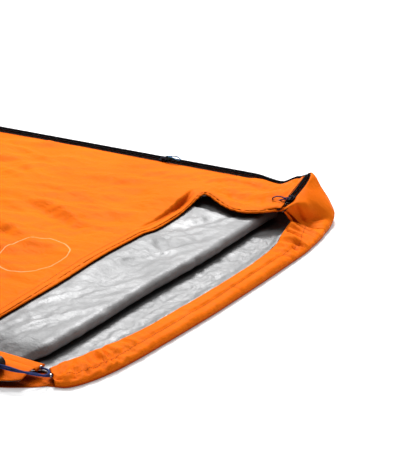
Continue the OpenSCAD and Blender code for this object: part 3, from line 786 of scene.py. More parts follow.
def panel_details(x, y):
    """Folds and crumples of the top panel, and the puffed roll behind the mouth's raised end."""
    rise = left_rise(y) * foot_rise(x)
    ax, ay = turned(x, y, -9)
    bx, by = turned(x, y, 24)
    cx, cy = turned(x, y, 52)
    dz = 4.6 * noise(ax / 4.2, ay, 62, 11) + 3.2 * noise(bx / 3.2, by, 30, 12)
    dz = dz + 3.0 * creases(ax / 2.4, ay, 52, 13) * smooth(noise(x, y, 190, 14) + 0.6)
    dz = dz + 2.4 * creases(cx / 3.0, cy, 33, 24) * smooth(noise(x, y, 130, 25) + 0.4)
    dz = dz + 1.0 * creases(bx / 2.6, by, 19, 27) * smooth(noise(x, y, 90, 28) + 0.3)
    dz = dz + 0.8 * noise(x, y, 16, 15) + 0.4 * noise(x, y, 8, 16)
    near_lip = smooth((x - 735) / 90)
    dz = dz + near_lip * 0.9 * noise(x / 2.4, y + 0.35 * x, 15, 17)
    dz = dz + near_lip * 1.9 * creases(x / 2.2, y + 0.3 * x, 34, 26)
    near_foot = 1 - smooth((x - FOOT_X) / 160)
    dz = dz * (1 - 0.75 * near_foot) + near_foot * 1.4 * noise(x / 3.0, y, 17, 18) * smooth((x - FOOT_X) / 25)
    return dz * rise


# Height of the fold behind the far lip, towards the mouth's raised end: (y, z)
CREST = [(60, 32), (105, 35), (128, 35), (160, 38), (180, 41), (195, 43), (206, 45.5), (220, 48.5),
         (232, 50), (246, 50.5), (260, 49.5), (278, 48), (300, 45.5), (340, 42)]


def fold_crest(y):
    """The height of the panel just behind the far lip, ruffled a little."""
    ys, zs = np.array(CREST, float).T
    ruffle = 1.3 * noise(0 * y, y, 15, 21) + 0.8 * noise(0 * y + 3, y, 7, 22)
    quiet = np.interp(y, [MOUTH_LEFT_Y, ys[0]], [0, 1])
    lip = far_lip_z(y) + HEM_H / 2 + 0.8
    return np.where(y < ys[0], mix(lip, np.maximum(lip, zs[0]), quiet), np.interp(y, ys, zs)) + ruffle


def main_patch():
    """The panel from the foot to the far lip."""
    x = np.broadcast_to(xs_body[:, None], (BODY_ROWS, COLUMNS)).copy()
    edge_y, edge_z = zip_edge_point(xs_body)
    low = -half_outline(xs_body, LEFT_RADIUS) + 2
    near_foot = HALF_W - half_outline(xs_body, RIGHT_RADIUS)
    high = np.where(xs_body < FOOT_X + FOOT_RADIUS, edge_y - near_foot, edge_y)
    lip = smooth((xs_body - 700) / 140)
    left = mix(low + 50, MOUTH_LEFT_Y, lip)
    right = mix(mix(low, high, 0.82), HEM_CORNER_Y, lip)
    y = np.concatenate([
        mix(low[:, None], left[:, None], ys_left[None]),
        mix(left[:, None], right[:, None], ys_mid[None]),
        mix(right[:, None], high[:, None], ys_right[None])], axis=1)
    z = body_z(x, y)
    # Along the zip the panel follows the zip's own line
    off = (edge_z - body_z(xs_body, high))[:, None]
    z = z + off * smooth(1 - (high[:, None] - y) / 45)
    hold = smooth((high[:, None] - y) / 22)
    z = z + panel_details(x, y) * mix(0.12, 1.0, hold)
    # At the far lip it lies on the channel
    inside = smooth((y - MOUTH_LEFT_Y) / 14) * (1 - smooth((y - 275) / 70))
    z = mix(z, fold_crest(y) + 0.6 * noise(x, y, 19, 23), smooth((x - 755) / (PUFF_FRONT - 755)) * inside)
    strip = far_lip_z(y) + HEM_H / 2 + 0.6 + (x - 852) * lip_tilt(y) - 0.4 * smooth((x - 852) / 6)
    strip = strip + 0.4 * noise(x / 3.0, y, 9, 19) + 0.45 * noise(x / 2.0, y, 24, 20)
    z = mix(z, strip, smooth((x - PUFF_FRONT) / 5.5) * inside)
    overhang = 4.5 * window(y, 95, 165, 232, 256)
    x = x + overhang * np.exp(-(((x - PUFF_FRONT - 1.0) / 6.0) ** 2))
    return np.stack([x, y, z], -1)


def strip_patch(main):
    """The zipped side's strip, between the mouth's hem, the zip's side and its leg over the corner."""
    strip_columns = COLUMNS - RIGHT_COLUMN
    part = hem_line[hem_line[:, 1] > 240][::-1]  # from the far lip's end to the zip
    start = main[-1, RIGHT_COLUMN]
    begins = np.argmin(np.abs(part[:, 0] - 853.0) + np.abs(part[:, 1] - 259.0))
    hem_part = part[begins:]
    hem_part = hem_part - path_frames(hem_part)[0] * 6.0 + [0, 0, HEM_H / 2 + 0.1]
    hem_part = np.concatenate([[start], hem_part[2:]])
    bottom = at_distances(hem_part, np.linspace(0, lengths(hem_part)[-1], STRIP_ROWS))
    xs_side = np.linspace(JOIN_X, CORNER_X, 30)
    y_side, z_side = zip_edge_point(xs_side)
    side_run = np.stack([xs_side, y_side, z_side], -1)
    arc = zip_arc(np.linspace(0, 2, 60))
    edge = np.concatenate([side_run, arc[1:]])
    turn = len(side_run) - 1 + 15  # half way round the corner
    top = at_distances(edge[:turn + 1], np.linspace(0, lengths(edge[:turn + 1])[-1], STRIP_ROWS))
    right = edge[turn:][::-1]
    right[0] = bottom[-1]
    right = at_distances(right, np.linspace(0, lengths(right)[-1], strip_columns))
    left = main[-1, RIGHT_COLUMN:]
    top[0] = left[-1]
    patch = coons(bottom, top, left, right)
    u = np.linspace(0, 1, STRIP_ROWS)[:, None]
    v = np.linspace(0, 1, strip_columns)[None]
    x, y = patch[..., 0], patch[..., 1]
    inside = smooth(u / 0.1) * smooth((1 - u) / 0.12) * smooth(v / 0.12) * smooth((1 - v) / 0.15)
    gather = noise(u * 60, v * 2.0, 2.6, 31) * (1 - smooth(v / 0.55)) * smooth(v / 0.05 + 0.3)
    folds = 2.4 * noise(x / 2.0, y, 30, 32) + 1.2 * creases(x, y, 26, 33) + 0.5 * noise(x, y, 9, 34)
    dimple = -7.0 * np.exp(-(((x - 908) / 26) ** 2 + ((y - 290) / 13) ** 2))
    swell = 5.0 * np.exp(-(((x - 952) / 30) ** 2 + ((y - 318) / 26) ** 2))
    patch[..., 2] += (folds + dimple + swell) * inside \
        + 1.5 * gather * smooth((1 - u) / 0.08) * smooth(u / 0.1)
    return patch


def left_strip(main):
    """The strip between the mouth and the closed side."""
    xs = np.linspace(JOIN_X, 983, STRIP_ROWS)
    low = -half_outline(xs, LEFT_RADIUS) + 2
    y = mix(low[:, None], MOUTH_LEFT_Y + 2, ys_left[None])
    x = np.broadcast_to(xs[:, None], y.shape)
    z = body_z(x, y) + panel_details(x, y) * smooth((983 - x) / 30)
    blend = smooth((x - JOIN_X) / 20)
    hem_z = np.interp(xs, [846, 880, 930, 984], [20.5, 17, 15.5, 14])[:, None] + HEM_H / 2 + 0.3
    z = mix(z, hem_z, smooth((y + 372) / 20) * blend)
    grid = np.stack([x, y, z], -1)
    grid[0] = main[-1, :LEFT_COLUMN + 1]
    return grid


def build_top_panel():
    """The panel's grid, and which of its cells are cloth: those of the mouth aren't."""
    main = main_patch()
    right = strip_patch(main)
    left = left_strip(main)
    grid = np.full((BODY_ROWS + STRIP_ROWS - 1, COLUMNS, 3), 0.0)
    grid[:BODY_ROWS] = main
    grid[BODY_ROWS - 1:, RIGHT_COLUMN:] = right
    grid[BODY_ROWS - 1:, :LEFT_COLUMN + 1] = left
    keep = np.ones((grid.shape[0] - 1, COLUMNS - 1), bool)
    keep[BODY_ROWS - 1:, LEFT_COLUMN:RIGHT_COLUMN] = False
    grid[BODY_ROWS:, LEFT_COLUMN + 1:RIGHT_COLUMN] = grid[BODY_ROWS - 1, LEFT_COLUMN + 1:RIGHT_COLUMN][None]
    return grid, keep


panel_grid, panel_keep = build_top_panel()


def drop_loose(thing):
    """Removes vertices that no face uses."""
    mesh = thing.data
    used = np.zeros(len(mesh.vertices), bool)
    index = np.zeros(len(mesh.loops), np.int32)
    mesh.loops.foreach_get("vertex_index", index)
    used[index] = True
    if used.all():
        return
    bm = bmesh.new()
    bm.from_mesh(mesh)
    bm.verts.ensure_lookup_table()
    bmesh.ops.delete(bm, geom=[bm.verts[int(k)] for k in np.flatnonzero(~used)], context="VERTS")
    bm.to_mesh(mesh)
    bm.free()


top_panel = cloth_object("top_panel", panel_grid, panel_keep, 0.5)
drop_loose(top_panel)
ride(top_panel, fabric_printed, replaces=["top_shell"])

film_grid = panel_grid.copy()
film_grid[..., 2] -= 2.6 + 0.5 * noise(film_grid[..., 0], film_grid[..., 1], 20, 41)
film_keep = panel_keep.copy()
film_keep[:1] = film_keep[-1:] = False
film_keep[:, :1] = film_keep[:, -2:] = False
film_keep[np.searchsorted(xs_body, PUFF_FRONT):, LEFT_COLUMN - 1:RIGHT_COLUMN + 4] = False
top_film = cloth_object("top_film", film_grid, film_keep, 0.3)
drop_loose(top_film)
ride(top_film, film, replaces=["top_lining"])

mouth_hem = ride(build_hem(), fabric, replaces=["mouth_hem_top"])

# ---- Rim, head corner and zipped side ----

# The rim's lip and outer edge, from the closed side to the zipped side
RIM_PAIRS = [
    ((993, -334), (1018, -357)), ((997.5, -312), (1034, -349)), ((1004.5, -288.5), (1047, -323)),
    ((1012, -258), (1056.5, -285)), ((1020.5, -218), (1062.5, -235)), ((1028, -165), (1066.5, -173)),
    ((1031, -101), (1070, -101)), ((1034, -50), (1072, -50)), ((1035.5, 0), (1072.5, 0)),
    ((1036.5, 58), (1073, 57)), ((1036, 113), (1073, 112)), ((1032, 168), (1072.5, 166)),
    ((1026, 208), (1072, 203)), ((1017, 234), (1070.5, 228))]
LIP_Z, EDGE_Z = 14.0, 11.6


def rim_station(lip, outer):
    """A section of the rim, from under its lip over the top and down to the floor's edge."""
    lip, outer = np.array(lip, float), np.array(outer, float)
    w = np.linalg.norm(outer - lip)
    d = (outer - lip) / w
    rows = [(12, 4.5), (0.8, LIP_Z - 5), (1.2, LIP_Z - 0.6), (0.45 * w, LIP_Z + 1.6), (w - 15, LIP_Z - 0.4),
            (w - 4.0, EDGE_Z), (w + 0.4, 5.5), (w - 1.5, 0.5)]
    return [(*(lip + d * along), z) for along, z in rows]


# Stations round the head corner, each from the lip or zip edge out to the floor's edge
CORNER_STATIONS = [
    [(1024, 251, 7), (1013.5, 252, 11), (1014, 252.5, 15.5), (1026, 250, 16.3), (1046, 247, 14.5),
     (1065, 243, 11.8), (1069, 242, 5.5), (1067, 242, 0.5)],
    [(1020, 267, 8), (1010, 267, 13), (1010.8, 267.5, 17.3), (1022, 266, 16.8), (1040, 264, 15.3),
     (1063, 260, 12), (1067.5, 259, 5.7), (1065.5, 259, 0.5)],
    [(1017, 282, 11), (1008.5, 282.5, 17.5), (1009.5, 283, 21.5), (1017, 283, 18.5), (1035, 282, 15.8),
     (1060, 278, 12.5), (1065, 277, 6), (1063, 277, 0.5)],
    [(1009, 284, 26), (1004, 279, 29.5), (1005, 280, 32), (1010, 287, 24), (1026, 289, 17),
     (1057, 290, 13), (1063, 290, 6.2), (1061, 290, 0.5)],
    [(1003, 276, 37), (1000.6, 273, 39.6), (1002, 274.5, 40.3), (1009, 284, 31), (1024, 291, 18),
     (1053, 300, 14), (1060, 301, 6.8), (1058, 301, 0.5)],
    [(1001.7, 286, 40.3), (999.8, 286, 43.1), (1004.7, 284.5, 43.4), (1011, 291, 33), (1024, 298, 18.5),
     (1050, 310, 15), (1058, 312, 7.2), (1056, 312, 0.5)],
    [(1005, 303, 44.4), (1003, 301, 46.6), (1010.4, 291.2, 46.8), (1016, 295, 37), (1026, 302, 18.5),
     (1048, 320, 15.5), (1056.5, 321, 7.5), (1054.5, 321, 0.5)],
    [(1004, 312, 47.5), (1001.8, 311, 50), (1012, 302, 49), (1019.5, 303, 42), (1031, 312, 18),
     (1046, 329, 16), (1054.5, 330, 8), (1052.5, 330, 0.5)],
    [(1004, 319, 49), (1001.4, 318, 51.8), (1008, 314, 50.5), (1023, 312, 43.5), (1034, 325, 24),
     (1045, 337, 17.5), (1053, 338, 9), (1050.5, 338, 0.5)],
    [(1004, 329, 51.5), (1001, 328, 54.4), (1005, 327, 53.6), (1018, 325, 48), (1030, 332, 38.5),
     (1043, 345, 25), (1050.5, 350, 13), (1046, 350, 0.5)],
    [(1003, 346, 56.5), (1000.2, 346, 59.3), (1003.5, 347, 58.8), (1012, 349, 53.5), (1023, 353, 44.5),
     (1036, 361, 31), (1043.5, 367, 15), (1039, 366, 0.5)],
    [(1000, 364.5, 61), (998, 364, 64.6), (1001, 365, 64), (1007.5, 369, 57), (1017, 374, 46),
     (1026.5, 380, 31), (1032, 384, 15), (1027, 381.5, 0.5)],
    [(996, 380.5, 63.5), (993, 378.5, 67.6), (996.8, 381.2, 66.9), (1002.5, 385, 59), (1008.5, 389, 46.5),
     (1014.5, 393, 31), (1018, 395.5, 15), (1013.5, 392, 0.5)],
    [(983.4, 392.4, 64.6), (984.2, 393.4, 65.2), (985.2, 394.7, 64.9), (988.5, 397.5, 57), (992, 400, 44),
     (995, 402, 29), (997, 403, 14), (993.5, 399.5, 0.5)],
    [(968, 396.0, 53.9), (968, 397.2, 54.5), (968.3, 398.2, 54.2), (969.5, 400.5, 47), (970.5, 403, 36.5),
     (971, 404.5, 24), (971, 404.5, 12), (970, 402, 0.5)]]
SPLIT_STATION = len(RIM_PAIRS) + 4  # the zip's end, where the rim meets the side wall


def side_wall_station(x):
    """From the zip's lower tape, or the top panel's seam, down to the floor."""
    slit = smooth((x - ZIP_FOOT_X + 26) / 20)
    c, s = math.cos(math.radians(ZIP_ROLL)), math.sin(math.radians(ZIP_ROLL))
    gap, fold = TAPE_OUT - 0.7, TAPE_OUT + 0.2  # the cloth's edge under the tape, and its turn down
    foot_cut = HALF_W - half_outline(x, RIGHT_RADIUS) if x < 0 else 0
    seam_z = 9 + (SIDE_H - 7) * foot_rise(x)
    y = mix(ZIP_Y + 7.4, ZIP_Y + gap * c, slit) - foot_cut
    z = mix(seam_z, zip_side_z(x) + gap * s - 0.9, slit)
    fold_y = mix(ZIP_Y + 9.0, ZIP_Y + fold * c, slit) - foot_cut
    fold_z = mix(seam_z - 1.5, zip_side_z(x) + fold * s - 1.5, slit)
    floor_y = HALF_W - 2.5 - foot_cut
    rows = [(y - 2.4 * (1 - slit), z - mix(2.4, 0.55, slit)), (y, z), (fold_y, fold_z)]
    for share, out in ((0.25, 1.2), (0.5, 2.0), (0.72, 2.2), (0.88, 1.8), (1.0, 0.0)):
        rows.append((mix(fold_y, floor_y, share) + out, mix(fold_z, 0.5, share)))
    return [(x, a, b) for a, b in rows]


side_xs = [945, 925, 900, 870, 830, 780, 720, 640, 540, 420, 280, 120, -60, -200, -300, -330, -352,
           -380, -450, -560, -680, -780, -860, -920, -970, -1010, -1035, -1052, -1060]
stations = np.array([rim_station(*p) for p in RIM_PAIRS] + CORNER_STATIONS
                    + [side_wall_station(x) for x in side_xs])


def span_counts(rows, step):
    """Samples to each span between stations, so that they come about a step apart."""
    gaps = np.linalg.norm(np.diff(rows[:, 5], axis=0), axis=-1)
    return [max(2, int(round(g / step))) for g in gaps]


counts = span_counts(stations, 3.4)
skirt = catmull(stations, counts)
skirt = np.swapaxes(catmull(np.swapaxes(skirt, 0, 1), [3, 2, 5, 5, 5, 4, 4]), 0, 1)
split_row = int(np.sum(counts[:SPLIT_STATION]))
corner_row = int(np.sum(counts[:len(RIM_PAIRS) - 1]))
side_row = int(np.sum(counts[:len(RIM_PAIRS) + len(CORNER_STATIONS) - 1]))


def wrinkle_skirt(grid):
    """Gathers of the rim and creases of the wall, moved along the cloth's own normals."""
    normal = row_normals(grid)
    columns = grid.shape[1]
    s = lengths(grid[:, columns // 2])[:, None]
    v = np.linspace(0, 1, columns)[None]
    face = window(v, 0.12, 0.25, 0.72, 0.98)
    tail = smooth((200 - s) / 130)  # the closed end of the rim
    radial = window(s, s[corner_row, 0] - 90, s[corner_row, 0] - 20, s[split_row, 0], s[split_row, 0] + 40)
    rim = 1 - smooth((s - s[split_row, 0]) / 30)
    amount = 1.0 * noise(s, v * 40, 38, 61) + 0.7 * noise(s, v * 30, 13, 62) * (1 + 1.3 * tail)
    amount = amount + 1.1 * creases(s, v * 60, 30, 63) * (0.4 + tail + 0.8 * radial)
    spread = window(v, 0.12, 0.3, 0.62, 0.85)
    amount = amount + radial * spread * (3.2 * noise(s, v * 12, 10, 64) + 5.2 * creases(s, v * 26, 17, 66))
    amount = amount + tail * spread * (4.6 * creases(s, v * 34, 15, 67) + 2.4 * noise(s, v * 20, 10, 68))
    wall = smooth((s - s[side_row, 0]) / 60)
    amount = amount * mix(1.0, 0.9, wall) + wall * 1.5 * noise(s / 1.2, v * 25, 21, 65)
    return grid + normal * (amount * face * mix(1.0, 0.9, rim))[..., None]


skirt = wrinkle_skirt(skirt)
skirt_flip = bool(row_normals(skirt)[corner_row // 2, skirt.shape[1] // 2, 2] < 0)
skirt[..., 2] = np.maximum(skirt[..., 2], 0.45)

mouth_rim = ride(cloth_object("mouth_rim", skirt[:split_row + 1], flip=skirt_flip), fabric,
                 replaces=["mouth_hem_floor"])
side_wall = ride(cloth_object("side_wall", skirt[split_row:], flip=skirt_flip), fabric,
                 replaces=["side_panel"])

# ---- Floor ----


def build_floor_panel():
    """A flat sheet whose head edge follows the foot of the rim and of the corner."""
    ys = -(HALF_W - 3) * np.cos(np.linspace(0.02, np.pi - 0.02, 90))
    foot = skirt[:side_row, -1, :2]
    foot = foot[np.argsort(foot[:, 1])]
    reach = np.interp(ys, foot[:, 1], foot[:, 0])
    past = np.clip(LEFT_RADIUS - HALF_W - ys, 0, LEFT_RADIUS * 0.999)
    corner = HEAD_X - LEFT_RADIUS + np.sqrt(LEFT_RADIUS**2 - past**2)
    head = np.where(ys < foot[0, 1], np.minimum(corner - 4, reach), reach) - 1.0
    off = np.clip(np.abs(ys) - (HALF_W - FOOT_RADIUS), 0, FOOT_RADIUS * 0.999)
    toe = FOOT_X + 1.5 + FOOT_RADIUS - np.sqrt(FOOT_RADIUS**2 - off**2)
    share = np.linspace(0, 1, 150)
    x = mix(toe[None], head[None], share[:, None])
    y = np.broadcast_to(ys[None], x.shape)
    z = 0.65 + 0.25 * noise(x, y, 40, 71) + 0.15 * noise(x, y, 14, 72)
    return np.stack([x, y, z], -1)


floor_panel = ride(cloth_object("floor_panel", build_floor_panel(), thick=0.35), fabric,
                   replaces=["floor_shell"])

CREST_X = 967.0
# The lining's section towards the head, from the crest: a rounded roll with a dark fold under it
ROLL = [(-190, 3.2), (-172, 6.5), (-152, 13), (-136, 20), (-122, 25), (-106, 26.2), (-90, 25.6), (-70, 24.4),
        (-48, 24.2), (-28, 25.2), (-12, 26.4), (-4, 26), (1.5, 22.8), (3.4, 17), (1.0, 11), (-6, 8),
        (-14, 6.4), (-19, 5.2), (-13, 4.2), (8, 3.6), (26, 3.6)]


def lip_x_at(y):
    """Where the rim's lip stands, on round the corner to the zip's end."""
    pairs = np.array([p[0] for p in RIM_PAIRS] + [(1010, 264), (1008, 283), (1004, 300), (1001, 330)], float)
    return np.interp(y, pairs[:, 1], pairs[:, 0])


def build_floor_film():
    """The floor's lining: flat towards the foot, a roll across the mouth, and a tail up to the rim."""
    flat_xs = np.linspace(FOOT_X + 12, 690, 100)
    roll = spaced(catmull(ROLL, 8), 3.0)
    flat = np.linspace(690, CREST_X + ROLL[0][0], 12)[1:-1]
    tail_share = np.linspace(0, 1, 16)[1:]
    ys = np.linspace(0, 1, 150)
    rows = []
    for x in np.concatenate([flat_xs, flat]):
        rows.append(("flat", x, 3.0))
    for dx, z in roll:
        rows.append(("roll", dx, z))
    for t in tail_share:
        rows.append(("tail", t, 0))
    grid = np.zeros((len(rows), len(ys), 3))
    for i, (kind, a, z) in enumerate(rows):
        x_guide = a if kind == "flat" else CREST_X + a if kind == "roll" else CREST_X + 26 + 38 * a
        y0 = -391 + 62 * smooth((x_guide - 895) / 90) + 12 * smooth((x_guide - 985) / 50)
        y1 = 389 - 40 * smooth((x_guide - 955) / 90) - 60 * smooth((x_guide - 985) / 40)
        y = mix(y0, y1, ys)
        stand = smooth((y + 348) / 55) * smooth((348 - y) / 36)
        wander = 3.0 * noise(0 * y, y, 170, 81) + 1.2 * noise(0 * y, y, 60, 82)
        wander = wander + 0.9 * noise(0 * y, y, 17, 93)
        if kind == "flat":
            x, h = np.full_like(y, a), np.full_like(y, z)
        elif kind == "roll":
            flat_x = CREST_X + mix(ROLL[0][0], ROLL[-1][0], (i - len(flat_xs) - len(flat)) / len(roll))
            x = mix(flat_x, CREST_X + a, stand) + wander * smooth((a + 200) / 120)
            h = mix(3.2, z, stand)
        else:
            x_end = lip_x_at(y) - 0.6
            x_start = CREST_X + 26 + wander
            x = mix(x_start, x_end, a)
            h = 3.6 + 6.8 * smooth((a - 0.35) / 0.65) ** 1.5
        grid[i, :, 0], grid[i, :, 1], grid[i, :, 2] = x, y, h
    x, y = grid[..., 0], grid[..., 1]
    index = np.arange(len(rows))
    behind = (index < len(flat_xs) + len(flat) + int(len(roll) * 0.72))[:, None]
    normal = row_normals(grid)
    normal[normal[..., 2] < -0.2] *= 0.3
    far = smooth((x - 600) / 160)
    edge = smooth((y + 400) / 40) * smooth((395 - y) / 30)
    ax, ay = turned(x, y, -35)
    bx, by = turned(x, y, 62)
    upper = 1.0 * noise(ax / 3.4, ay, 44, 83) + 1.5 * creases(bx / 4.2, by, 34, 84)
    upper = upper + 1.4 * creases(ax / 4.2, ay, 26, 94) * smooth(noise(x, y, 120, 95) + 0.3)
    upper = upper + 0.75 * creases(x, y, 15, 85) + 0.3 * noise(x, y, 6, 86)
    lower = 1.0 * creases(x, y * 0.8, 20, 87) + 0.7 * creases(x, y, 10, 88) + 0.3 * noise(x, y, 5, 89)
    crest = np.exp(-(((x - CREST_X + 6) / 22) ** 2))
    amount = np.where(behind, upper * mix(1.0, 0.35, crest) * far + 0.5 * (1 - far) * noise(x, y, 30, 90),
                      lower * smooth((x - CREST_X) / 12 + 0.2))
    under_lip = far_lip_z(y) - HEM_H / 2 - 1.1 - 15 * smooth((y - 234) / 12)
    lift = (under_lip - 26.2) * window(x, 822, 848, 868, 915) * behind
    calm = 1 - 0.85 * window(x, 835, 850, 864, 880) * behind
    grid[..., 2] += lift * edge
    grid = grid + normal * (np.clip(amount, -1.9, 4) * edge * calm)[..., None]
    grid[..., 2] = np.maximum(grid[..., 2], 1.7)
    return grid


floor_film = ride(cloth_object("floor_film", build_floor_film(), thick=0.3), film,
                  replaces=["floor_lining"])

# ---- Zip ----

COIL_Y, COIL_R, COIL_WIRE, COIL_PITCH = 2.2, 0.86, 0.33, 1.5


def zip_middle(step, leg_share=1.0):
    """The zip's middle line from its foot end to its mouth end, and its lean in degrees."""
    xs = np.linspace(ZIP_FOOT_X, CORNER_X, 160)
    side = np.stack([xs, np.full_like(xs, ZIP_Y), zip_side_z(xs)], -1)
    turn = np.linspace(0, 90, 24)[1:]
    arc = np.stack([CORNER_X + CORNER_R * np.sin(np.radians(turn)),
                    LEG_TOP[1] + CORNER_R * np.cos(np.radians(turn)), corner_z(turn)], -1)
    leg = LEG_TOP + np.linspace(0, leg_share, 12)[1:, None] * LEG
    line = np.concatenate([side, arc, leg])
    lean = np.concatenate([np.full(len(side), ZIP_ROLL), ZIP_ROLL * (1 - turn / 90), np.zeros(len(leg))])
    s = lengths(line)
    even = np.linspace(0, s[-1], int(round(s[-1] / step)) + 1)
    return at_distances(line, even), np.interp(even, s, lean)


def build_tape(name, side):
    """One of the zip's tapes: side is 1 on the wall's side and -1 on the panel's."""
    line, lean = zip_middle(4.0)
    out = np.full(len(line), TAPE_OUT)
    if side > 0:
        out = mix(TAPE_OUT, NARROW_TAPE, smooth((ZIP_ROLL - lean) / 8))
    h = TAPE_T / 2
    inner = np.full(len(line), TAPE_IN)
    a = side * np.stack([inner, out - 0.3, out, out - 0.3, inner], -1)
    b = np.broadcast_to([-h, -h, 0, h, h], a.shape)
    return tube_object(name, swept(line, np.stack([a, b], -1)[:, ::side], lean))


def build_coil(name, side):
    """The fine spiral of nylon along one tape's inner edge."""
    per_turn = 8
    line, lean = zip_middle(COIL_PITCH / per_turn, HEAD_STOP_AT / LEG_LEN)
    across, up = path_frames(line)
    c, s = np.cos(np.radians(lean))[:, None], np.sin(np.radians(lean))[:, None]
    across, up = across * c + up * s, up * c - across * s
    along = np.gradient(line, axis=0)
    along /= np.linalg.norm(along, axis=1, keepdims=True)
    a = (np.arange(len(line)) / per_turn * 2 * np.pi + (0 if side > 0 else np.pi))[:, None]
    out = across * np.cos(a) + up * np.sin(a)
    middle = line + across * side * COIL_Y + out * COIL_R
    b = (np.arange(4) * np.pi / 2)[None, :, None]
    rings = middle[:, None] + COIL_WIRE * (out[:, None] * np.cos(b) + along[:, None] * np.sin(b))
    return tube_object(name, rings, uv=False)


ride(build_tape("zip_tape_top", -1), tape_black, replaces=["zip_tape_upper"])
ride(build_tape("zip_tape_side", 1), tape_black, replaces=["zip_tape_lower"])
ride(build_coil("zip_coil_top", -1), coil_black, replaces=["zip_coil_upper"])
ride(build_coil("zip_coil_side", 1), coil_black, replaces=["zip_coil_lower"])

# ---- Bound seams and stitches ----


def build_binding(name, line):
    """A strip of shell cloth folded over a seam: a flat U, a little uneven."""
    line = spaced(np.array(line, float), 4.0)
    s = lengths(line)
    outer = np.array([(-2.9, 2.5), (0, 2.9), (2.1, 2.4), (2.8, 0), (2.1, -2.4), (0, -2.9), (-2.9, -2.5)])
    inner = np.array([(-2.9, -1.7), (1.2, -1.3), (1.2, 1.3), (-2.9, 1.7)])
    sections = np.broadcast_to(np.concatenate([outer, inner]), (len(line), 11, 2)).copy()
    sections[..., 1] *= (1 + 0.10 * noise(s, 0 * s, 13, 91))[:, None]
    sections[..., 0] += 0.35 * noise(s, 0 * s, 22, 92)[:, None]
    return tube_object(name, swept(line, sections))


def stitch_row(name, line):
    """Short raised stitches in a row along a line."""
    pitch, length, radius = 3.6, 2.5, 0.28
    s = lengths(line)
    turns = np.linspace(0, 2 * np.pi, 7)[:-1]
    section = np.stack([np.cos(turns), np.sin(turns)], -1)
    sizes = np.array([0.45, 1.0, 1.0, 0.45])[:, None, None] * radius * section
    chunks = []
    for start in np.arange(pitch, s[-1] - pitch, pitch):
        path = at_distances(line, start + length * np.array([0.0, 0.25, 0.75, 1.0]))
        path[[0, 3], 2] -= 0.2
        chunks.append((swept(path, sizes), True))
    return ride(joined(name, chunks), thread)


SEAM_Z = 4.6
closed_side_seam = [(x, -HALF_W + 3.6, SEAM_Z) for x in (FOOT_X + 60, HEAD_X - 160)]
foot_end_seam = [(FOOT_X + 1.5, y, SEAM_Z) for y in (HALF_W - 62, -HALF_W + 62)]
ride(build_binding("closed_side_binding", closed_side_seam),
     fabric, replaces=["side_seam_binding"])
ride(build_binding("foot_end_binding", foot_end_seam),
     fabric, replaces=["foot_seam_binding"])

on_panel = np.array([0, 0, 0.35])
lip_row = int(np.searchsorted(xs_body, 849.0))
rim_column = 15
zip_edge = mix(panel_grid[:BODY_ROWS, -1], panel_grid[:BODY_ROWS, -2], 0.6)[xs_body > ZIP_FOOT_X]
stitch_row("lip_stitches", panel_grid[lip_row, LEFT_COLUMN + 2:RIGHT_COLUMN + 1] + on_panel)
stitch_row("zip_edge_stitches", zip_edge + on_panel)
stitch_row("rim_stitches", skirt[4:split_row - 4, rim_column] + on_panel)

# ---- Stage and light ----


def make_stage():
    """A plain pale floor, just under the sack."""
    size = 30000
    corners = [(-size, -size, -0.3), (size, -size, -0.3), (size, size, -0.3), (-size, size, -0.3)]
    ground = new_object("ground", corners, [(0, 1, 2, 3)])
    ground.data.materials.append(floor_paper("ground_paper"))


def area_light(name, place, target, size, power):
    """A round white lamp at a place, turned to its target."""
    data = bpy.data.lights.new(name, "AREA")
    data.shape, data.size, data.energy = "DISK", size, power
    lamp = bpy.data.objects.new(name, data)
    lamp.location = place
    lamp.rotation_euler = (Vector(target) - Vector(place)).to_track_quat("-Z", "Y").to_euler()
    bpy.context.scene.collection.objects.link(lamp)


BRIGHT_SIDE = (-0.45, 0.75, 0.48)  # towards the room's pale wall, behind the zipped side
ROOM_LEVELS = ((0.0, 0.10), (0.9, 1.0))
ROOM_STRENGTH = 0.55


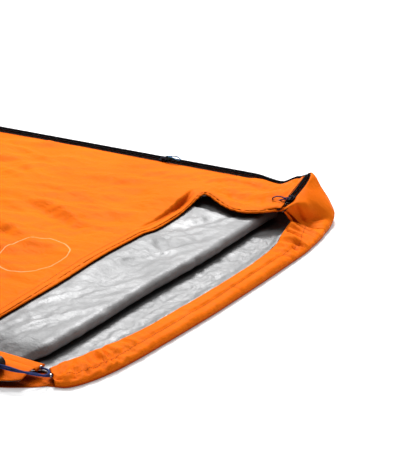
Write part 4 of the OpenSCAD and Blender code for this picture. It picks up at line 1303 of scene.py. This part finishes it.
def make_light():
    """A large soft light overhead and behind, in a pale room that is darker in front."""
    area_light("key", (-0.35, 2.3, 3.1), (0.8, 0.1, 0), 1.4, 205)
    area_light("top", (0.9, -0.2, 4.5), (0.9, 0.0, 0), 3.0, 60)
    world = bpy.data.worlds.new("room")
    bpy.context.scene.world = world
    world.use_nodes = True
    tree = world.node_tree
    back = tree.nodes["Background"]
    where = tree.nodes.new("ShaderNodeTexCoord")
    lit = tree.nodes.new("ShaderNodeVectorMath")
    lit.operation = "DOT_PRODUCT"
    lit.inputs[1].default_value = BRIGHT_SIDE
    tree.links.new(where.outputs["Generated"], lit.inputs[0])
    ramp = tree.nodes.new("ShaderNodeValToRGB")
    ramp.color_ramp.interpolation = "EASE"
    for stop, (at, level) in zip(ramp.color_ramp.elements, ROOM_LEVELS):
        stop.position, stop.color = at, (level, level, level, 1)
    tree.links.new(lit.outputs["Value"], ramp.inputs[0])
    tree.links.new(ramp.outputs[0], back.inputs["Color"])
    back.inputs["Strength"].default_value = ROOM_STRENGTH


make_stage()
make_light()
bpy.context.scene.view_settings.view_transform = "Standard"

# ---- CAD parts that stay ----


for node, material in {
    "head_slider": slider_metal, "head_pull_tab": slider_metal, "foot_slider": slider_metal,
    "foot_pull_tab": slider_metal, "zip_top_stops": stop_metal, "zip_bottom_stop": stop_metal,
    "head_pull_knot": cord_navy, "foot_pull_knot": cord_blue, "drawcord_eyelets": eyelet_metal,
    "cord_lock_barrel": lock_plastic, "cord_lock_plunger": lock_button}.items():
    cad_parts[node].data.materials.clear()
    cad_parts[node].data.materials.append(material)

SPRING_R, SPRING_WIRE, SPRING_TURNS = 4.2, 0.25, 3


def build_lock_spring():
    """The lock's spring, from its barrel's floor to its button."""
    low, high = box_mm("cord_lock_spring")
    turn = np.linspace(0, SPRING_TURNS * 2 * np.pi, SPRING_TURNS * 24 + 1)
    out = np.stack([np.cos(turn), 0 * turn, np.sin(turn)], -1)
    middle = (low + high) / 2 + out * SPRING_R
    middle[:, 1] = np.linspace(high[1] - SPRING_WIRE, low[1] + SPRING_WIRE, len(turn))
    along = np.gradient(middle, axis=0)
    along /= np.linalg.norm(along, axis=1, keepdims=True)
    across = np.cross(along, out)
    b = (np.arange(8) * np.pi / 4)[None, :, None]
    rings = middle[:, None] + SPRING_WIRE * (out[:, None] * np.cos(b) + across[:, None] * np.sin(b))
    spring = tube_object("lock_spring", rings, uv=False)
    ride(spring, spring_metal, replaces=["cord_lock_spring"])
    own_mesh(spring)


build_lock_spring()
